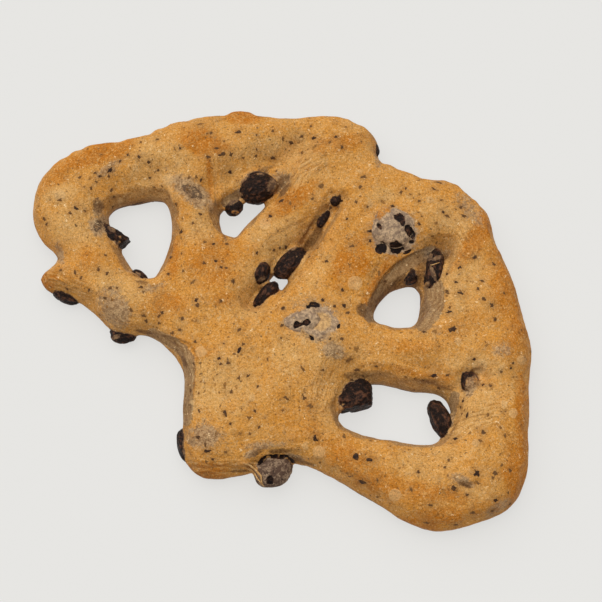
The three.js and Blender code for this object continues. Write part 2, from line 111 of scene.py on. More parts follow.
# ---- Marks on the crust, in pixels of the photograph ----
# Bits of olive and herb in the skin: u, v, length, width, turn in degrees, tone from 0 (black) to 1 (brown)
FLECKS = [
    (110, 170, 8, 5, 35, 0), (120, 161, 4, 4, 0, 0.5), (100, 176, 4, 3, 30, 0.3), (109, 176, 3, 3, 0, 0.4),
    (80, 177, 4, 3, 20, 0.6), (150, 178, 3, 3, 0, 0.3), (139, 157, 6, 2.5, -20, 0.3),
    (180, 148, 2.5, 4, 0, 0.3), (157, 139, 4, 4, 0, 0.7), (141, 142, 3, 5, 0, 0.7),
    (128, 155, 3, 3, 0, 0.4), (76, 208, 8, 3, -28, 0), (85, 211, 4, 3, -60, 0.5), (70, 213, 4, 3, 10, 0.4),
    (60, 200, 6, 2, 20, 0.6), (44, 219, 4, 3, -40, 0.5), (149, 162, 3, 3, 0, 0.3), (114, 197, 4, 2, 0, 0.5),
    (91, 188, 3, 3, 0, 0.6), (230, 172, 4, 3.5, 0, 0.1), (231, 154, 4, 4, 0, 0.4),
    (222, 154, 8, 4.5, 20, 0.35), (208, 157, 6, 4, -15, 0.4), (211, 133, 5, 5, 0, 0.5),
    (238, 132, 7, 3.5, 15, 0.3), (200, 124, 11, 3, 8, 0.7), (291, 143, 5, 3, -20, 0.3),
    (314, 138, 5, 4, 0, 0), (314, 147, 8, 3.5, 30, 0.9), (302, 136, 5, 3, 20, 0.4),
    (336, 137, 4, 3, -30, 0.1), (342, 147, 5, 3, -45, 0.3), (311, 126, 3, 2.5, 0, 0.6),
    (273, 158, 6, 4, 0, 0.35), (256, 156, 3, 4, 0, 0.4), (243, 158, 3, 2.5, 0, 0.6),
    (302, 153, 4, 4, 0, 0.7), (283, 138, 2, 6, 0, 0.7), (273, 131, 4, 3, 0, 0.7),
    (346, 127, 4, 2.5, 0, 0.6), (330, 142, 4, 3, 30, 0.8), (217, 148, 6, 2, 10, 0.5),
    (196, 177, 4, 4, 0, 0.7), (189, 177, 3, 4, 0, 0.6), (201, 180, 3, 4, -20, 0.3),
    (281, 201, 6, 4, 10, 0.15), (290, 203, 3, 7, -20, 0.8), (321, 186, 6, 6, 0, 0.7),
    (270, 216, 5, 4, 0, 0.3), (360, 187, 5, 3, 20, 0.5), (181, 232, 4, 6, -30, 0.3),
    (213, 244, 5, 2.5, 30, 0.2), (216, 261, 4, 4, 0, 0.1), (221, 267, 5, 3, -20, 0.3),
    (226, 268, 4, 2.5, 0, 0.5), (233, 281, 3, 8, 10, 0.5), (193, 282, 7, 3.5, 38, 0.8),
    (196, 300, 5, 5, 0, 0.2), (197, 305, 3, 5, 20, 0.4), (162, 313, 5, 3.5, 10, 0.3),
    (159, 316, 3, 2.5, 0, 0.5), (182, 318, 4, 4, 30, 0.5), (144, 316, 4, 3, 0, 0.5),
    (146, 321, 3, 5, 0, 0.5), (257, 253, 2.5, 4, -20, 0.3), (283, 308, 4, 3, 0, 0.3),
    (171, 257, 3, 4, 0, 0.4), (274, 250, 3, 4, 20, 0.3), (280, 248, 2.5, 2.5, 0, 0.3),
    (286, 247, 3, 4, 0, 0.3), (221, 301, 4, 4, 0, 0.5), (309, 257, 3, 3, 0, 0.6),
    (326, 261, 2.5, 3, 0, 0.2), (338, 200, 10, 9, 0, 0.02), (330, 208, 4, 3, 10, 0.4),
    (356, 202, 4, 4, 0, 0.6), (347, 219, 3, 2, 0, 0.3), (364, 177, 7, 5, -20, 0.6),
    (383, 202, 6, 7, 0, 0.9), (392, 206, 4, 3, 30, 0.3), (370, 231, 9, 3.5, 5, 0.15),
    (370, 241, 6, 3.5, 25, 0.15), (419, 224, 3.5, 4, 0, 0.2), (401, 192, 4, 6, -25, 0.5),
    (393, 206, 3, 2.5, 0, 0.2), (419, 201, 4, 3, 0, 0.6), (434, 189, 7, 3, -45, 0.3),
    (447, 216, 7, 5, -35, 0.5), (443, 212, 4, 2.5, -40, 0.2), (464, 216, 7, 3, -20, 0.4),
    (461, 207, 5, 3, -25, 0.4), (437, 182, 6, 2.5, 0, 0.3), (436, 223, 6, 3, 0, 0.9),
    (433, 236, 5, 5, 45, 0.8), (352, 246, 7, 3, 10, 0.5), (379, 273, 3, 6, -20, 0.8),
    (475, 257, 6, 4, 35, 0.3), (460, 267, 4, 5, -20, 0.3), (447, 274, 4, 4, 0, 0.2),
    (327, 261, 3, 3, 0, 0.4), (456, 282, 4, 2.5, -15, 0.2), (494, 264, 6, 3, -50, 0.4),
    (482, 281, 5, 2.5, -20, 0.4), (478, 289, 3, 3.5, 0, 0.4), (484, 299, 4, 5, 0, 0.4),
    (492, 305, 6, 7, 0, 0.35), (495, 319, 4, 5, 0, 0.4), (504, 293, 3, 3, 0, 0.6),
    (447, 292, 4, 6, 30, 0.5), (461, 293, 8, 3.5, -30, 0.2), (449, 312, 7, 3.5, 15, 0.15),
    (450, 307, 5, 3, 20, 0.7), (453, 329, 9, 7, 35, 0.1), (424, 332, 6, 2.5, -25, 0.3),
    (435, 331, 6, 6, 0, 0.9), (342, 290, 3, 4, 0, 0.15), (344, 306, 5, 5, 0, 0.02),
    (323, 300, 3, 5, 0, 0.1), (348, 313, 4, 5, 0, 0.5), (334.5, 306, 3, 3, 0, 0.3),
    (412, 270, 3, 3, 0, 0.2), (342, 339, 5, 4, -20, 0.5), (282, 325, 4, 2, 40, 0.5),
    (283.5, 308.5, 4, 3.5, 0, 0.4), (330, 339, 3.5, 2, 30, 0.3), (348, 360, 5, 5, 0, 0.7),
    (323, 370, 2.5, 3, 0, 0.5), (302, 368, 2.5, 8, 35, 0.7), (239, 350, 6, 8, 30, 0),
    (243, 344, 3, 3, 0, 0.5), (239, 330, 6, 3.5, 25, 0.5), (219, 358.5, 4, 2.5, 20, 0.2),
    (221, 364, 4, 3, 10, 0.3), (228, 363, 4, 3, -20, 0.5), (239, 378, 3, 5, 0, 0.5),
    (248, 376, 5, 2.5, 45, 0.3), (225, 385, 3.5, 6, 0, 0.9), (231, 392, 3, 5, 0, 0.5),
    (225, 413, 3, 8, 20, 0.35), (199, 411, 2.5, 4, 25, 0.3), (304, 398, 4, 7, 25, 0.5),
    (191, 391, 2.5, 5, 10, 0.4), (310, 406, 8, 5, 10, 0.7), (286, 398, 6, 3, -30, 0.6),
    (230, 424, 3, 2.5, 0, 0.4), (315, 438, 6, 9, 30, 0), (198, 437, 5, 5, 0, 0.3),
    (208, 451, 7, 4.5, 10, 0.1), (205, 445, 2, 6, 10, 0.4), (259, 427, 3, 5, 0, 0.5),
    (255, 411, 3, 2.5, 0, 0.3), (226, 452, 4, 3, 0, 0.8), (213, 459, 3, 3, 20, 0.4),
    (249, 418, 5, 5, 0, 0.9), (240, 434, 4, 5, 0, 0.9), (250, 434, 3, 3, 0, 0.6), (350, 359, 7, 5, 35, 0.8),
    (356, 349, 5, 6, -20, 0.9), (355, 457, 6, 9, -10, 0.05), (370, 460, 9, 3, -5, 0.1),
    (362, 482, 12, 5, 10, 0.2), (411, 489, 4, 6, 0, 0.8), (418, 472, 4, 3, 0, 0.4),
    (474, 359, 4, 4, 0, 0.15), (487, 345, 6, 3, 25, 0.8), (511, 368, 3, 3, 0, 0.2),
    (501, 372, 3, 3, 0, 0.4), (483, 385, 3, 3, 0, 0.3), (490, 385, 4, 4, 0, 0.6),
    (463, 401, 3, 4, -20, 0.2), (467, 415, 4, 6, 0, 0.2), (488, 415, 3, 4, 0, 0.7),
    (483, 432, 6, 3.5, -35, 0.3), (455, 439, 6, 4, -10, 0.2), (481, 441, 6, 5, 0, 0.8),
    (500, 427, 4, 3, -30, 0.7), (505, 436, 3, 4, 0, 0.6), (477, 473, 7, 9, 0, 0.02),
    (495, 473, 6, 6, 0, 0.5), (493, 478, 4, 5, 0, 0.8), (502, 465, 5, 3, 20, 0.7), (510, 470, 4, 4, 0, 0.6),
    (449, 460, 4, 3, 20, 0.7), (445, 467, 2.5, 3, 0, 0.6), (454, 488, 6, 5, 0, 0.3),
    (467, 495, 3, 3, 0, 0.4), (478, 483, 8, 4, -25, 0.8), (496, 500, 5, 3.5, 35, 0.15),
    (510, 504, 4, 3, 0, 0.5), (473, 513, 6, 3.5, 0, 0.5), (492, 511, 7, 4, 20, 0.7),
    (456, 525, 5, 4, 0, 0.5), (430, 505, 6, 2.5, 0, 0.5), (427, 523, 9, 2.5, 15, 0.4),
    (344, 436, 4, 5, 0, 0.7), (434, 376, 11, 3.5, 6, 0), (448, 375, 4, 2.5, 0, 0.5),
    (439, 388, 5, 3, 0, 0.4), (363, 376, 3, 3, 0, 0.4), (352, 380, 4, 3, -30, 0.4),
    (357, 370, 5, 2.5, 0, 0.5), (376, 366, 5, 2, 0, 0.5), (139, 203, 19, 2.5, 13, 0.05),
    (440, 183, 8, 2.5, -25, 0.5), (376, 306, 5, 4, 0, 0.4), (379, 283, 3, 3, 0, 0.6),
    (385, 281, 3, 4, 0, 0.5), (120, 335, 10, 3, -10, 0.3), (98, 269, 5, 4, 10, 0.6),
    (107, 273.5, 4, 3, 0, 0.4), (105, 255, 4, 3, 0, 0.4), (75, 272, 2, 6, 10, 0.5), (81, 278, 3, 4, 0, 0.6),
    (89, 290, 3, 3, 0, 0.4), (67, 289, 4, 3, 0, 0.4), (110, 288, 4, 4, 0, 0.5), (105, 298, 4, 3, 0, 0.5),
    (141, 287, 5, 3, 0, 0.3), (168, 274, 4, 4, 30, 0.4), (183, 271, 3, 3, 0, 0.6),
    (131, 310, 4, 5, 30, 0.6), (112, 300, 3, 5, 30, 0.8), (193, 223, 3, 3, 0, 0.5),
    (200, 214, 4, 3, 0, 0.3), (176, 204, 5, 4, -40, 0.5), (227, 244, 5, 3, -30, 0.5),
    (205, 242, 3, 3, 0, 0.7), (204, 263, 3, 3, 0, 0.4), (180, 330, 5, 3, 0, 0.6),
    (195, 342, 4, 3, -20, 0.4), (172, 333, 4, 3, 0, 0.6), (159, 323, 3, 3, 0, 0.4),
]
FLECK_RIM = 1.6  # how much wider a named fleck is made than its dark middle, in pixels

# Grey-brown patches over a buried olive: u, v, half-length, half-width, turn in degrees, strength
STAINS = [
    (192, 192, 25, 9, -38, 1.0), (106, 170, 15, 5, 30, 0.5), (99, 226, 9, 9, 0, 1.0),
    (114, 309, 19, 13, -60, 0.8), (205, 436, 17, 12, 0, 0.8), (98, 208, 5, 8, 0, 0.7),
    (280, 182, 9, 12, -40, 0.7), (394, 234, 26, 24, 0, 0.4), (333, 350, 12, 9, -20, 0.8),
    (430, 312, 8, 12, 0, 0.3), (470, 210, 7, 22, 38, 0.5), (152, 288, 13, 4, 20, 0.5),
    (262, 446, 20, 4, 5, 0.6), (462, 481, 13, 5, -25, 0.6), (60, 254, 4, 12, 15, 0.6),
    (502, 350, 9, 7, 0, 0.5), (378, 160, 3, 12, 0, 0.5), (498, 508, 15, 5, 35, 0.5),
    (470, 386, 5, 11, -20, 0.8), (436, 254, 12, 6, 0, 1.0), (366, 312, 5, 7, 40, 0.7),
    (316, 321, 25, 22, -20, 0.5), (322, 338, 9, 3, 20, 0.9), (293, 318, 4, 4, 40, 0.8),
    (252, 454, 7, 4, 30, 0.9), (295, 457, 11, 2.5, -20, 0.9), (437, 331, 6, 6, 0, 0.4),
]
# Browned more than the rest: the same columns
BROWNED = [
    (203, 142, 21, 12, -10, 1), (508, 300, 16, 60, 14, 0.6), (215, 262, 34, 26, 0, 0.6),
    (400, 346, 44, 8, 0, 0.3), (165, 303, 22, 14, 0, 0.7), (205, 472, 20, 8, 4, 1),
    (243, 116, 18, 7, 0, 0.9), (430, 520, 60, 11, 18, 0.6), (516, 470, 12, 40, 0, 0.7),
    (350, 260, 20, 30, -25, 0.7), (207, 350, 14, 9, 0, 0.6), (210, 176, 3, 22, 4, 1),
    (330, 145, 34, 10, 5, 0.5), (478, 236, 11, 36, -35, 0.8), (345, 455, 34, 14, -30, 0.6),
    (380, 276, 5, 28, -32, 1), (292, 200, 30, 9, 38, 0.9), (522, 420, 8, 50, 0, 0.7),
    (60, 175, 24, 10, 45, 0.5), (415, 372, 34, 4, -8, 0.5), (100, 155, 34, 9, 18, 0.9),
    (48, 283, 9, 9, 0, 0.8), (380, 480, 50, 14, -22, 0.6), (300, 420, 30, 24, 20, 0.35),
    (470, 250, 9, 22, -30, 0.4), (460, 330, 30, 12, 30, 0.4), (320, 168, 22, 5, 10, 0.5),
    (170, 250, 10, 34, 10, 0.6), (440, 495, 50, 9, -12, 0.7), (230, 300, 18, 10, 0, 0.5),
    (80, 262, 22, 16, -40, 0.4), (370, 215, 9, 16, 0, 0.4),
]
# Paler and drier than the rest: the same columns
FLOURED = [
    (160, 170, 26, 26, 0, 0.8), (76, 225, 24, 20, 20, 0.6), (120, 285, 40, 12, -20, 0.6),
    (60, 194, 14, 8, 10, 0.8), (280, 150, 34, 14, 0, 0.9), (305, 170, 24, 14, 30, 0.6),
    (448, 222, 26, 16, -40, 0.9), (455, 275, 18, 30, -10, 0.6), (470, 412, 34, 26, 20, 0.8),
    (480, 366, 22, 10, -10, 0.9), (225, 385, 36, 34, 0, 0.6), (300, 345, 36, 20, 0, 0.5),
    (430, 460, 60, 14, 10, 0.4), (200, 225, 14, 20, 0, 0.5), (265, 225, 20, 12, 40, 0.5),
    (245, 290, 16, 30, 0, 0.7), (280, 235, 26, 8, 42, 0.5), (380, 195, 16, 8, 0, 0.7),
    (330, 405, 12, 26, 8, 0.4), (322, 268, 8, 26, -38, 0.5), (470, 500, 34, 10, 15, 0.4),
    (440, 241, 14, 8, 0, 0.9),
]
# Painted shade, deep brown, in hollows, under lips and along low edges: the same columns
SHADED = [
    (362, 311, 5, 7, 30, 1), (440, 258, 9, 4, 10, 0.9), (306, 247, 14, 4, 55, 0.8), (98, 206, 7, 8, 0, 0.6),
    (285, 190, 3, 9, -40, 0.8), (356, 376, 16, 5, -8, 0.7), (472, 374, 10, 4, 25, 0.9),
    (262, 290, 4, 4, 0, 0.8), (317, 233, 4.5, 17, -34, 1), (140, 282, 9, 3, -10, 0.6),
    (240, 471, 11, 1.5, 3, 1), (424, 381, 18, 3, -10, 0.5), (464, 485, 9, 2, -25, 0.8),
    (118, 196, 20, 4, 12, 0.4), (299, 461, 15, 2, -14, 1), (258, 452, 8, 3, 30, 0.9),
    (145, 332, 10, 2, -10, 1), (262, 171, 15, 3.5, 25, 0.6), (418, 302, 3, 12, -12, 0.8),
    (392, 288, 22, 3.5, 42, 1), (184, 362, 2.5, 7, 20, 0.9), (196, 424, 2, 10, 0, 0.3),
    (280, 451, 15, 2.5, 0, 0.8), (300, 243, 5, 26, -42, 0.2), (424, 270, 9, 12, 0, 0.9),
    (412, 279, 12, 9, 40, 0.9), (281, 183, 7, 15, -40, 0.6),
]
# Steep places kept free of the painted shade of walls and steep faces: the same columns
LIT = [
    (441, 239, 20, 11, 0, 1.2), (226, 185, 10, 14, -20, 0.8), (300, 178, 14, 12, 40, 0.8),
    (275, 157, 34, 11, 5, 0.9), (288, 226, 22, 10, 44, 0.5),
]
# Sides of an olive that the dough covers: the same columns
COVERED = [
    (472, 383, 7, 13, -12, 1.5), (240, 177, 18, 6.5, 55, 1.5), (282, 184, 5, 13, -35, 1.5),
    (296, 244, 4, 10, -40, 1),
]
# Skin of dough baked over the olive that lies on top: the same columns
FILMS = [(394.5, 234.5, 21.5, 20.5, 0, 1), (317, 321, 20, 18, -20, 0.8), (333, 325, 6, 9, -30, 0.8)]
THICK_FILM = (321, 321.5, 9.5, 9, 0, 1)  # where the second one lets no olive show through
# Patches of it on the other olives: the same columns
OLIVE_FILMS = [
    (232, 199, 11, 5, 25, 1), (276, 181, 6, 14, -35, 0.9), (186, 446, 3.5, 12, 0, 0.9),
    (437, 258, 6, 2, 20, 1), (428, 256, 5, 5, 0, 0.9), (433, 273, 2.5, 8, 20, 0.9),
    (438, 285, 2, 6, 15, 0.7), (262, 279, 6, 2.5, 30, 0.7), (426, 288, 3, 5, 0, 0.7),
    (112, 229, 5, 3, -40, 0.7), (342, 388, 4, 5, 30, 0.5), (100, 302, 5, 3, 0, 0.7),
    (270, 252, 4, 3, 0, 0.3), (138, 274, 4, 2, -30, 0.8), (116, 337, 5, 2.5, 20, 0.8),
    (270, 480, 6.5, 7, 0, 1), (404, 283, 3, 3, 0, 0.6),
]
# Where the film is torn and the olive's dark flesh shows: u, v, half-length, half-width, turn. The last
# three are the near-black rim where the dough meets the foot olive, partly its flesh and partly painted
# shade.
FILM_HOLES = [
    (400, 217, 6, 4, -10), (403, 221, 2.6, 4.5, 0), (410.5, 232, 7.5, 4, -58), (381.5, 248.5, 6, 6, 0),
    (396.5, 247.5, 7.5, 6, -12), (408, 252, 4.5, 1.5, 25), (412, 242, 3, 2, 0), (379, 226, 2, 4, 35),
    (296.5, 325, 3.4, 3.6, 0), (306.5, 322.3, 5, 2.9, 20), (301, 324.5, 4.5, 1.8, 20),
    (269.8, 480.5, 3.6, 4, 0), (315, 304.5, 6, 2.6, -12), (309, 306, 3, 2, 30), (339, 326, 1.6, 3, -20),
    (311.5, 337.5, 3.6, 1.6, -50), (263, 459.5, 7, 1.7, 42), (279, 456.5, 11, 1.9, -2),
    (292, 461, 6, 1.8, -42),
]
# Round bits of the crust that stand up or curl: u, v, radius, height in millimetres, paleness
BLISTERS = [
    (319, 452, 7, 0.5, 0.8), (355, 283, 8, 0.5, 0.8), (480, 366, 8, 0.7, 1), (458, 341, 4, 0.4, 0.9),
    (395, 495, 7, 0.4, 0.8), (203, 132, 5, 0.5, 0.3), (186, 142, 5, 0.4, 0.3), (521, 360, 5, 0.7, 0.9),
    (201, 352, 6, 0.5, 0.9), (265, 224, 6, 0.4, 0.9), (193, 402, 3, 0.5, 0.9), (487, 444, 4, 0.4, 0.2),
    (476, 443, 4, 0.4, 1), (252, 398, 4, 0.3, 0.7), (305, 446, 4, 0.3, 0.8), (370, 205, 4, 0.3, 0.6),
    (120, 200, 4, 0.3, 0.5), (60, 195, 6, 0.4, 0.8), (168, 180, 6, 0.3, 1), (303.5, 341.5, 3.4, 0.3, 0.8),
    (504, 404, 4, 0.3, 0.9), (513, 413, 5, 0.4, 0.8), (430, 200, 4, 0.4, 0.8), (293, 317, 4, 0.5, 0.8),
    (306, 331, 6, 0.7, 0.5), (313, 313, 6, 0.3, 0.7),
]
# Dents that run along a line: its points, its depth and its half-width in millimetres
CREASES = [
    ([(303, 243), (315, 224), (331, 205)], 1.5, 1.2),
    ([(449, 477), (457, 481), (463, 486), (470, 487), (479, 482)], 1.0, 1.0),
    ([(230, 470), (238, 471), (246, 469), (252, 468)], 1.6, 1.0),
    ([(192, 468), (210, 469), (232, 466)], 0.6, 0.9),
    ([(461, 373), (470, 374), (481, 369)], 1.5, 1.3),
    ([(214, 162), (215, 180), (217, 200), (222, 220)], 0.9, 1.3),
    ([(160, 178), (172, 188), (177, 202)], 0.4, 1.4),
    ([(240, 331), (260, 312), (283, 300)], 0.3, 1.3),
    ([(298, 330), (303, 335), (313, 338), (326, 336), (334, 328), (335, 317)], 0.8, 1.2),
    ([(46, 276), (53, 275), (62, 278)], 0.7, 0.9),
    ([(383, 258), (377, 270), (370, 284)], 0.8, 1.2),
    ([(428, 384), (440, 388), (452, 392)], 0.7, 1.0),
    ([(476, 408), (480, 416), (484, 423)], 0.5, 0.8),
    ([(160, 231), (190, 231), (212, 228)], 0.25, 1.6),
    ([(299, 364), (298, 369), (301, 373), (306, 373)], 0.5, 0.7),
]
# Steps in the crust: points, with the higher side on the line's left, height and half-width in millimetres
LIPS = [
    ([(487, 373), (465, 379), (441, 377), (417, 369), (395, 362), (376, 358), (350, 364)], 0.4, 4.0),
    ([(369, 313), (372, 296), (383, 276), (396, 263), (407, 256), (426, 249)], 1.2, 1.8),
    ([(257, 262), (263, 244), (280, 230), (303, 220), (318, 205)], 0.3, 2.6),
    ([(278, 292), (290, 281), (303, 272), (315, 254), (330, 233)], 0.9, 1.6),
    (
        [(150, 333), (172, 337), (189, 343), (197, 354), (196, 368), (193, 388), (190, 405), (187, 424)],
        1.2, 1.3,
    ),
    ([(444, 283), (444, 300), (439, 314), (428, 325)], 1.1, 1.5),
    ([(236, 466), (248, 464), (256, 469), (260, 478)], 0.9, 1.2),
    ([(45, 283), (51, 279), (60, 281), (70, 286)], 0.6, 1.0),
    ([(212, 160), (212, 175), (213, 190), (213, 207)], 0.7, 1.4),
    ([(472, 204), (482, 222), (490, 240)], 0.7, 1.3),
    ([(455, 478), (463, 481), (470, 484), (480, 478)], 0.6, 0.9),
]
# Deep dents: u, v, half-length, half-width, turn, depth in millimetres
DENTS = [
    (461, 383, 5, 8, 10, 0.8), (258, 300, 6, 11, -40, 1.6), (285, 178, 8, 10, 40, 0.8),
    (436, 254, 12, 7, 15, 1.2), (300, 316, 22, 3, -40, 0.4), (228, 237, 3, 5, -25, 1.6),
    (470, 487, 9, 3, -20, 0.7), (362, 311, 5, 7, 30, 1.0),
]
# Torn sides of paler, fibrous dough: points, half-width in pixels
TORN = [
    ([(152, 334), (170, 341), (181, 349), (189, 359), (189, 376), (187, 400), (186, 420)], 6),
    ([(371, 316), (377, 299), (388, 283), (402, 268), (418, 257), (432, 252)], 7),
    ([(424, 322), (434, 306), (434, 288)], 10),
    ([(226, 203), (236, 196), (246, 190)], 5),
    ([(455, 396), (452, 410), (448, 424)], 5),
]
# Stretched skin with fine wrinkles along it: points, half-width in pixels, strength
STRETCHED = [
    ([(330, 362), (322, 385), (318, 404)], 14, 0.7), ([(452, 432), (470, 420), (498, 412)], 14, 0.9),
    ([(371, 300), (378, 284), (392, 262)], 7, 0.7), ([(218, 160), (219, 185), (224, 212)], 9, 0.5),
    ([(172, 182), (175, 200), (176, 218)], 7, 0.7), ([(206, 300), (212, 262), (200, 225)], 12, 0.3),
    ([(290, 190), (300, 172), (318, 160)], 12, 1), ([(465, 395), (485, 372), (505, 352)], 12, 0.4),
    ([(50, 276), (66, 282), (90, 290)], 10, 0.9), ([(152, 336), (180, 349), (190, 376), (186, 420)], 8, 1),
    ([(420, 322), (438, 300), (436, 284)], 10, 0.5), ([(340, 470), (380, 490), (430, 500)], 12, 0.4),
    ([(190, 466), (220, 468), (255, 466)], 9, 1), ([(444, 214), (456, 228), (470, 248)], 14, 0.6),
    ([(245, 330), (275, 300), (310, 262)], 9, 0.4), ([(126, 192), (150, 190), (166, 196)], 10, 0.4),
]
# Strands of dough over an olive: points, thickness in millimetres
STRANDS = [
    ([(426, 265), (432, 265), (438, 263), (445, 261)], 0.5),
    ([(243, 463), (250, 465), (256, 470), (261, 476), (262, 484)], 1.1),
    ([(248, 467), (254, 472), (258, 479), (264, 486)], 0.8),
    ([(244, 466), (250, 470), (255, 476)], 0.6),
]

# ---- Marks scattered over the crust by chance, so that all sides have them ----
SCATTER_SEED = 7
FLECK_COUNT = 460
FLECK_LENGTHS = (0.8 * MM, 2.9 * MM)
FLECK_WIDTHS = (0.4, 0.9)  # as a share of the length
MOSTLY_SHORT = 2.6  # the higher this power, the fewer are long
DARKEST = 0.3  # tone
TONE_SPAN = 0.9
MOSTLY_BROWN = 0.8  # the lower this power, the more are brown
FLECK_SPACING = 2.4 * MM  # between a scattered fleck and a named one
CLEAR_OF_OLIVE = 1.0 * MM  # no scattered mark lies closer to an olive
# Seeds of smooth noise. The lumps take 0 to 3, and each olive's folds take two from the fold seed on
EDGE_SEED = 20
FOLD_SEED = 30
SINK_SEED = 50
HOLE_SEED = 60


# ================= Small helpers =================

def smoothstep(low, high, values):
    t = np.clip((values - low) / (high - low), 0, 1)
    return t * t * (3 - 2 * t)


def noise_at(points, size, seed=0):
    """Smooth noise, about -1 to 1, at each point; from one lump to the next it is that size."""
    shifted = points / size + 17.3 * (seed + 1)
    return np.array([noise.noise(p) for p in shifted.tolist()])


def to_photo(points):
    """The photograph's pixel of each point."""
    away = points - np.array(CAMERA_AT)
    scale = CAMERA_DISTANCE / PIXEL / -(away @ np.array(VIEW_BACK))
    u = PHOTO_MIDDLE + away @ np.array(VIEW_RIGHT) * scale
    v = PHOTO_MIDDLE - away @ np.array(VIEW_UP) * scale
    return np.stack((u, v), axis=1)


def photo_ray(u, v):
    """Direction from the camera through a pixel of the photograph."""
    sideways = (u - PHOTO_MIDDLE) * PIXEL * VIEW_RIGHT
    upwards = (PHOTO_MIDDLE - v) * PIXEL * VIEW_UP
    return (sideways + upwards - CAMERA_DISTANCE * VIEW_BACK).normalized()


def ellipse_distance(pixels, u, v, half_length, half_width, turn):
    """1 on the ellipse, 0 in its middle. The turn is in degrees, anticlockwise on the photograph."""
    c, s = math.cos(math.radians(turn)), math.sin(math.radians(turn))
    right, up = pixels[:, 0] - u, v - pixels[:, 1]
    return np.hypot((right * c + up * s) / half_length, (up * c - right * s) / half_width)


def inside_marks(pixels, rows, ragged=0.0):
    """How far each pixel lies inside the marks: 1 in the middle, 0.5 on the edge and 0 well outside."""
    most = np.zeros(len(pixels))
    for *ellipse, strength in rows:
        away = ellipse_distance(pixels, *ellipse) + ragged
        most = np.maximum(most, strength * np.clip(1.5 - away, 0, 1))
    return most


def follow(pixels, route):
    """Each pixel's distance to the route, the same but below 0 on its right, and the share passed."""
    route = np.array(route, float)
    steps = np.diff(route, axis=0)
    lengths = np.hypot(*steps.T)
    before = np.concatenate(([0], np.cumsum(lengths)))
    distance = np.full(len(pixels), np.inf)
    to_left = np.zeros(len(pixels))
    passed = np.zeros(len(pixels))
    for start, step, length, so_far in zip(route, steps, lengths, before):
        away = pixels - start
        t = np.clip(away @ step / length**2, 0, 1)
        gap = away - t[:, None] * step
        here = np.hypot(*gap.T)
        nearer = here < distance
        left = np.where(step[0] * gap[:, 1] - step[1] * gap[:, 0] < 0, 1, -1)
        distance = np.where(nearer, here, distance)
        to_left = np.where(nearer, left * here, to_left)
        passed = np.where(nearer, (so_far + t * length) / before[-1], passed)
    return distance, to_left, passed


def welded(node):
    """A CAD node's shape with its corners merged."""
    shape = bmesh.new()
    shape.from_mesh(frame["nodes"][node].data)
    bmesh.ops.remove_doubles(shape, verts=shape.verts, dist=0.001 * MM)
    shape.normal_update()
    return shape


def swell(shape, amount):
    normals = [corner.normal.copy() for corner in shape.verts]
    for corner, normal in zip(shape.verts, normals):
        corner.co += amount * normal


def as_mesh(name, shape):
    mesh = bpy.data.meshes.new(name)
    shape.to_mesh(mesh)
    shape.free()
    return mesh


def with_modifier(mesh, kind, part=None, **settings):
    """The mesh after one modifier, which works on part of its corners where they are given."""
    carrier = bpy.data.objects.new("carrier", mesh)
    bpy.context.scene.collection.objects.link(carrier)
    modifier = carrier.modifiers.new("change", kind)
    if part is not None:
        carrier.vertex_groups.new(name="part").add(part, 1.0, "REPLACE")
        modifier.vertex_group = "part"
    for setting, value in settings.items():
        setattr(modifier, setting, value)
    graph = bpy.context.evaluated_depsgraph_get()
    changed = bpy.data.meshes.new_from_object(carrier.evaluated_get(graph))
    bpy.data.objects.remove(carrier)
    return changed


class Skin:
    """A mesh whose corners are moved and painted as arrays."""

    def __init__(self, mesh):
        self.mesh = mesh
        count = len(mesh.vertices)
        self.points = np.empty(count * 3)
        mesh.vertices.foreach_get("co", self.points)
        self.points = self.points.reshape(count, 3)
        self.edges = np.empty(len(mesh.edges) * 2, int)
        mesh.edges.foreach_get("vertices", self.edges)
        self.edges = self.edges.reshape(-1, 2)

    def normals(self):
        self.mesh.vertices.foreach_set("co", self.points.ravel())
        self.mesh.update()
        normals = np.empty(len(self.points) * 3)
        self.mesh.vertex_normals.foreach_get("vector", normals)
        return normals.reshape(-1, 3)

    def look(self):
        """Notes where the photograph shows each point, and how much it faces the camera."""
        self.pixels = to_photo(self.points)
        to_camera = np.array(CAMERA_AT) - self.points
        to_camera /= np.linalg.norm(to_camera, axis=1)[:, None]
        self.facing = smoothstep(*FACING, np.sum(self.normals() * to_camera, axis=1))

    def around(self, values, passes, pull=0.5):
        """Each column of values after that many passes of moving towards the neighbours' mean."""
        a, b = self.edges.T
        count = len(self.points)
        neighbours = np.bincount(a, minlength=count) + np.bincount(b, minlength=count)
        values = values.copy()
        for _ in range(passes):
            for column in values.T:
                mean = (np.bincount(a, column[b], count) + np.bincount(b, column[a], count)) / neighbours
                column += pull * (mean - column)
        return values

    def ease(self, rounds):
        """Rounds off the facets without shrinking what is wider."""
        INWARDS, OUTWARDS = 0.5, -0.515
        for _ in range(rounds):
            self.points = self.around(self.points, 1, INWARDS)
            self.points = self.around(self.points, 1, OUTWARDS)

    def push(self, distances):
        self.points = self.points + distances[:, None] * self.normals()

    def paint(self, name, values):
        self.mesh.attributes.new(name, "FLOAT", "POINT").data.foreach_set("value", values)

    def tree(self):
        return BVHTree.FromPolygons(self.points.tolist(), [p.vertices[:] for p in self.mesh.polygons])

    def piece(self, name, material, slot, *nodes):
        """The finished skin as an object that stands for the CAD nodes."""
        self.normals()
        self.mesh.shade_smooth()
        self.mesh.materials.clear()
        self.mesh.materials.append(material)
        return add_piece(name, self.mesh, slot, *nodes)


def add_piece(name, mesh, slot, *nodes):
    piece = bpy.data.objects.new(name, mesh)
    bpy.context.scene.collection.objects.link(piece)
    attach(piece, "root")
    if nodes:
        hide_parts(*nodes)
    return piece


def mesh_from(name, points, faces, material):
    mesh = bpy.data.meshes.new(name)
    mesh.from_pydata([tuple(p) for p in points], [], faces)
    mesh.materials.append(material)
    mesh.shade_smooth()
    return mesh


